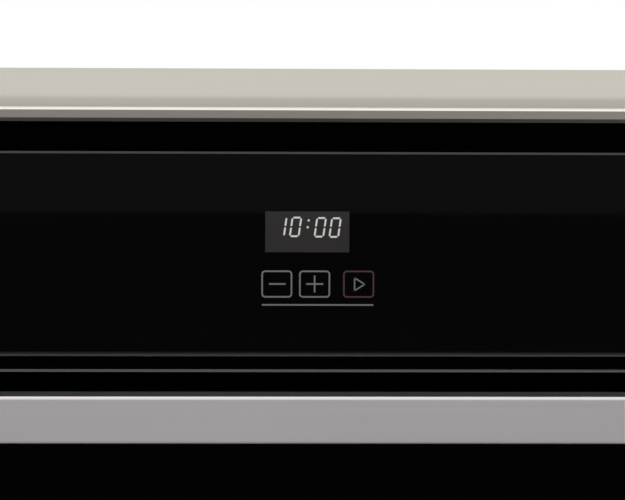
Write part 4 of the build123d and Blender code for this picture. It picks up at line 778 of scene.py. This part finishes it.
heights = spread(case_low.z + edge_gap, top_z - edge_gap)
depths = spread(case_low.y + front_gap, case_high.y - rear_gap)
screw_sizes = {"flange_radius": 0.0048, "head_radius": 0.0037, "head_height": 0.0030,
               "finish": screw_zinc, "slot": "zinc_coated_sheet"}
back_places = [(side * (side_x - edge_gap), back_y, z) for side in (-1, 1) for z in heights]
back_places += [(x, back_y, case_low.z + edge_gap) for x in (-0.16, 0.0, 0.16)]
screw.piece("back_screws", back_places, direction=(0, 1, 0), **screw_sizes)
top_places = [(side * (side_x - top_gap), y, top_z) for side in (-1, 1) for y in depths]
screw.piece("top_screws", top_places, direction=(0, 0, 1), **screw_sizes)
for side, label in ((-1, "left"), (1, "right")):
    side_places = [(side * side_x, y, z) for y in depths[::2] for z in side_rows]
    screw.piece(f"side_screws_{label}", side_places, direction=(side, 0, 0), **screw_sizes)

# %% [markdown]
# ## Springs of the door
#
# The model has a plain sleeve for each spring. A spiral curve with a round profile gives the
# turns, in place of the sleeve, which is hidden. The springs ride with the door. Real ones get
# shorter as it opens; these keep one length, from their seat at the lower end.

# %% Door springs
coil = Layout("coil_spring", "Turns", "Coil radius", "Wire radius", "Length")
spiral = coil.node(
    "GeometryNodeCurveSpiral",
    {},
    {
        "Resolution": 18,
        "Rotations": coil.size("Turns"),
        "Start Radius": coil.size("Coil radius"),
        "End Radius": coil.size("Coil radius"),
        "Height": coil.size("Length"),
    },
)
section = coil.node(
    "GeometryNodeCurvePrimitiveCircle",
    {"mode": "RADIUS"},
    {"Resolution": 8, "Radius": coil.size("Wire radius")},
)
wound = coil.node(
    "GeometryNodeCurveToMesh", {}, {"Curve": spiral, "Profile Curve": section, "Fill Caps": True}
)
coil.copies(wound)

spring_low, spring_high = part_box("hinge_springs")
outer_radius = (spring_high.y - spring_low.y) / 2
wire_radius = 0.0008
spring_steel = stained_steel("oiled_spring_wire", (0.20, 0.20, 0.20), (0.14, 0.13, 0.12), 0.30)
spring_x, spring_y = spring_high.x - outer_radius, (spring_low.y + spring_high.y) / 2
spring_places = [(side * spring_x, spring_y, spring_low.z + wire_radius) for side in (-1, 1)]
springs = coil.piece(
    "coiled_springs", spring_places, body="door", slot="spring_steel", finish=spring_steel,
    turns=34.0, coil_radius=outer_radius - wire_radius, wire_radius=wire_radius,
    length=spring_high.z - spring_low.z - 2 * wire_radius,
)
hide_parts("hinge_springs")
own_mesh(springs)

# %% [markdown]
# ## Marks of the knobs
#
# Printed dots stand round each knob, at off and at the turns that it can reach. The tree gets
# their places from small to large, and the size of a dot follows from its number. A gas tap opens
# wide at first and closes down as it is turned on, so its largest dot comes first. The groove in
# a knob's face is filled with black paint, so that one sees how far the knob is turned.

# %% Dots round the knobs, and the paint in their grooves
dots = Layout("growing_dots", "Dot radius", "Thickness", "Growth")
number = dots.node("GeometryNodeInputIndex", {}, {})
grown = dots.size("Dot radius") * (1.0 + dots.size("Growth") * number)
disc = dots.node(
    "GeometryNodeMeshCylinder", {}, {"Vertices": 16, "Radius": 1.0, "Depth": dots.size("Thickness")}
)
flat = dots.node("FunctionNodeEulerToRotation", {}, {"Euler": (math.radians(90), 0.0, 0.0)})
wide = dots.node("ShaderNodeCombineXYZ", {}, {"X": grown, "Y": grown, "Z": 1.0})
dots.copies(disc, rotation=flat, scale=wide)

mark_ink = printed("knob_mark_print", (0.20, 0.20, 0.20))
mark_radius = 0.0300
groove_paint = printed("knob_groove_paint", (0.006, 0.006, 0.006))
groove_inset, groove_length, groove_width, groove_depth = 0.0015, 0.0120, 0.0020, 0.0006
paint_depth = 0.0001
knob_turns = {"gas_knob": (0, 240, 200, 160, 120, 80, 40), "grill_knob": (0, 45, 90, 135, 180)}
for label, turns in knob_turns.items():
    knob_low, knob_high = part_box(label)
    middle_x, middle_z = (knob_low.x + knob_high.x) / 2, (knob_low.z + knob_high.z) / 2
    places = [(middle_x - mark_radius * math.sin(a), glass_y, middle_z + mark_radius * math.cos(a))
              for a in map(math.radians, turns)]
    dots.piece(f"{label}_marks", places, slot="display", finish=mark_ink,
               dot_radius=0.0006, thickness=0.00012, growth=0.16)
    groove_top = knob_high.z - groove_inset
    groove = stroke([(middle_x, groove_top), (middle_x, groove_top - groove_length)], groove_width)
    groove_floor = knob_low.y + groove_depth
    plate(f"{label}_line", groove, groove_floor - paint_depth, groove_floor, groove_paint,
          body=label)

# %% [markdown]
# ## Camera
#
# The photo was taken from the front, a little above the panel and a few millimetres to the left.
# It hardly narrows downwards, so the camera looks down by two degrees only and a shift of its lens
# does the rest. The picture keeps almost one scale: 0.44 mm of the glass fall on one pixel, and
# 625 pixels show 275 mm. The small turn and the small roll give the front's long lines the slopes
# that they have in the photo.

# %% Camera
view_width = 0.2744
sensor = 36.0
eye = Vector((-0.0086, -0.9292, 0.5760))
target = Vector((0.0, glass_y, 0.5210))
look_down = math.radians(2.0)
roll = math.radians(0.2)
away = Vector((target.x - eye.x, target.y - eye.y, 0.0))
aim = away - Vector((0.0, 0.0, math.tan(look_down) * away.length))
rest_down = math.atan2(eye.z - target.z, away.length) - look_down
camera_data = bpy.data.cameras.new("photo_camera")
camera_data.sensor_width = sensor
camera_data.lens = sensor * away.length / view_width
camera_data.shift_y = -math.tan(rest_down) * camera_data.lens / sensor
camera_data.clip_start = 0.01
camera = bpy.data.objects.new("photo_camera", camera_data)
camera.location = eye
camera.rotation_euler = (
    aim.to_track_quat("-Z", "Y").to_matrix() @ Matrix.Rotation(roll, 3, "Z")
).to_euler()
bpy.context.scene.collection.objects.link(camera)
bpy.context.scene.camera = camera
print("lens", round(camera_data.lens, 1), "mm, shift", round(camera_data.shift_y, 3))

# %% [markdown]
# ## Floor, room and lamps
#
# A pale floor carries the oven. The world is white to the eye and to mirrors, and dimmer as a
# light, so that the lamps can model the forms. One broad lamp hangs above, as the even light on
# the slanted trim shows, and weaker ones stand at the sides and the back for the other views.

# %% Floor
floor_reach = 9
floor_mesh = bpy.data.meshes.new("studio_floor")
floor_corners = [(x * floor_reach, y * floor_reach, 0) for x, y in ((-1, -1), (1, -1), (1, 1), (-1, 1))]
floor_mesh.from_pydata(floor_corners, [], [(0, 1, 2, 3)])
floor = bpy.data.objects.new("studio_floor", floor_mesh)
bpy.context.scene.collection.objects.link(floor)
floor_paint = Finish("pale_floor")
mottle = floor_paint.noise(floor_paint.place, 3.0, 2.0)
floor_paint.surface(
    base_color=floor_paint.colours(mottle, (0.72, 0.72, 0.715), (0.75, 0.75, 0.745)),
    roughness=0.8,
    specular_ior_level=0.1,
)
floor_mesh.materials.append(floor_paint.material)

# %% World
world = bpy.data.worlds.new("studio")
bpy.context.scene.world = world
world.use_nodes = True
sky = Nodes()
sky.tree = world.node_tree
background = sky.tree.nodes["Background"]
rays = sky.tree.nodes.new("ShaderNodeLightPath").outputs
from_eye, through_glass, mirrored = [
    Number(sky, rays[f"Is {kind} Ray"]) for kind in ("Camera", "Transmission", "Glossy")
]
seen = sky.node("ShaderNodeMath", {"operation": "MAXIMUM"}, {0: from_eye, 1: through_glass})
white = sky.node("ShaderNodeMath", {"operation": "MAXIMUM"}, {0: seen, 1: mirrored})
strength = sky.node("ShaderNodeMapRange", {}, {"Value": white, "To Min": 0.45, "To Max": 1.0})
sky.feed(background.inputs["Strength"], strength)
sky.feed(background.inputs["Color"], (1.0, 1.0, 1.0))


# %% Lamps
def soft_lamp(name, place, aim, size, watts, colour=(1.0, 1.0, 1.0)):
    data = bpy.data.lights.new(name, "AREA")
    data.shape = "RECTANGLE"
    data.size, data.size_y = size
    data.energy = watts
    data.color = colour
    lamp = bpy.data.objects.new(name, data)
    lamp.location = place
    lamp.rotation_euler = (Vector(aim) - Vector(place)).to_track_quat("-Z", "Y").to_euler()
    bpy.context.scene.collection.objects.link(lamp)


soft_lamp("key_above", (0.0, -0.35, 2.5), (0.0, -0.35, 0.0), (3.0, 2.4), 8.0, (1.0, 0.985, 0.93))
soft_lamp("fill_left", (-2.2, -0.6, 1.3), (0.0, 0.0, 0.3), (1.2, 1.4), 14.0)
soft_lamp("fill_right", (2.2, 0.6, 1.5), (0.0, 0.0, 0.3), (1.2, 1.4), 14.0)
soft_lamp("fill_back", (0.3, 2.4, 1.5), (0.0, 0.2, 0.3), (1.4, 1.2), 12.0)
bpy.context.scene.view_settings.view_transform = "Standard"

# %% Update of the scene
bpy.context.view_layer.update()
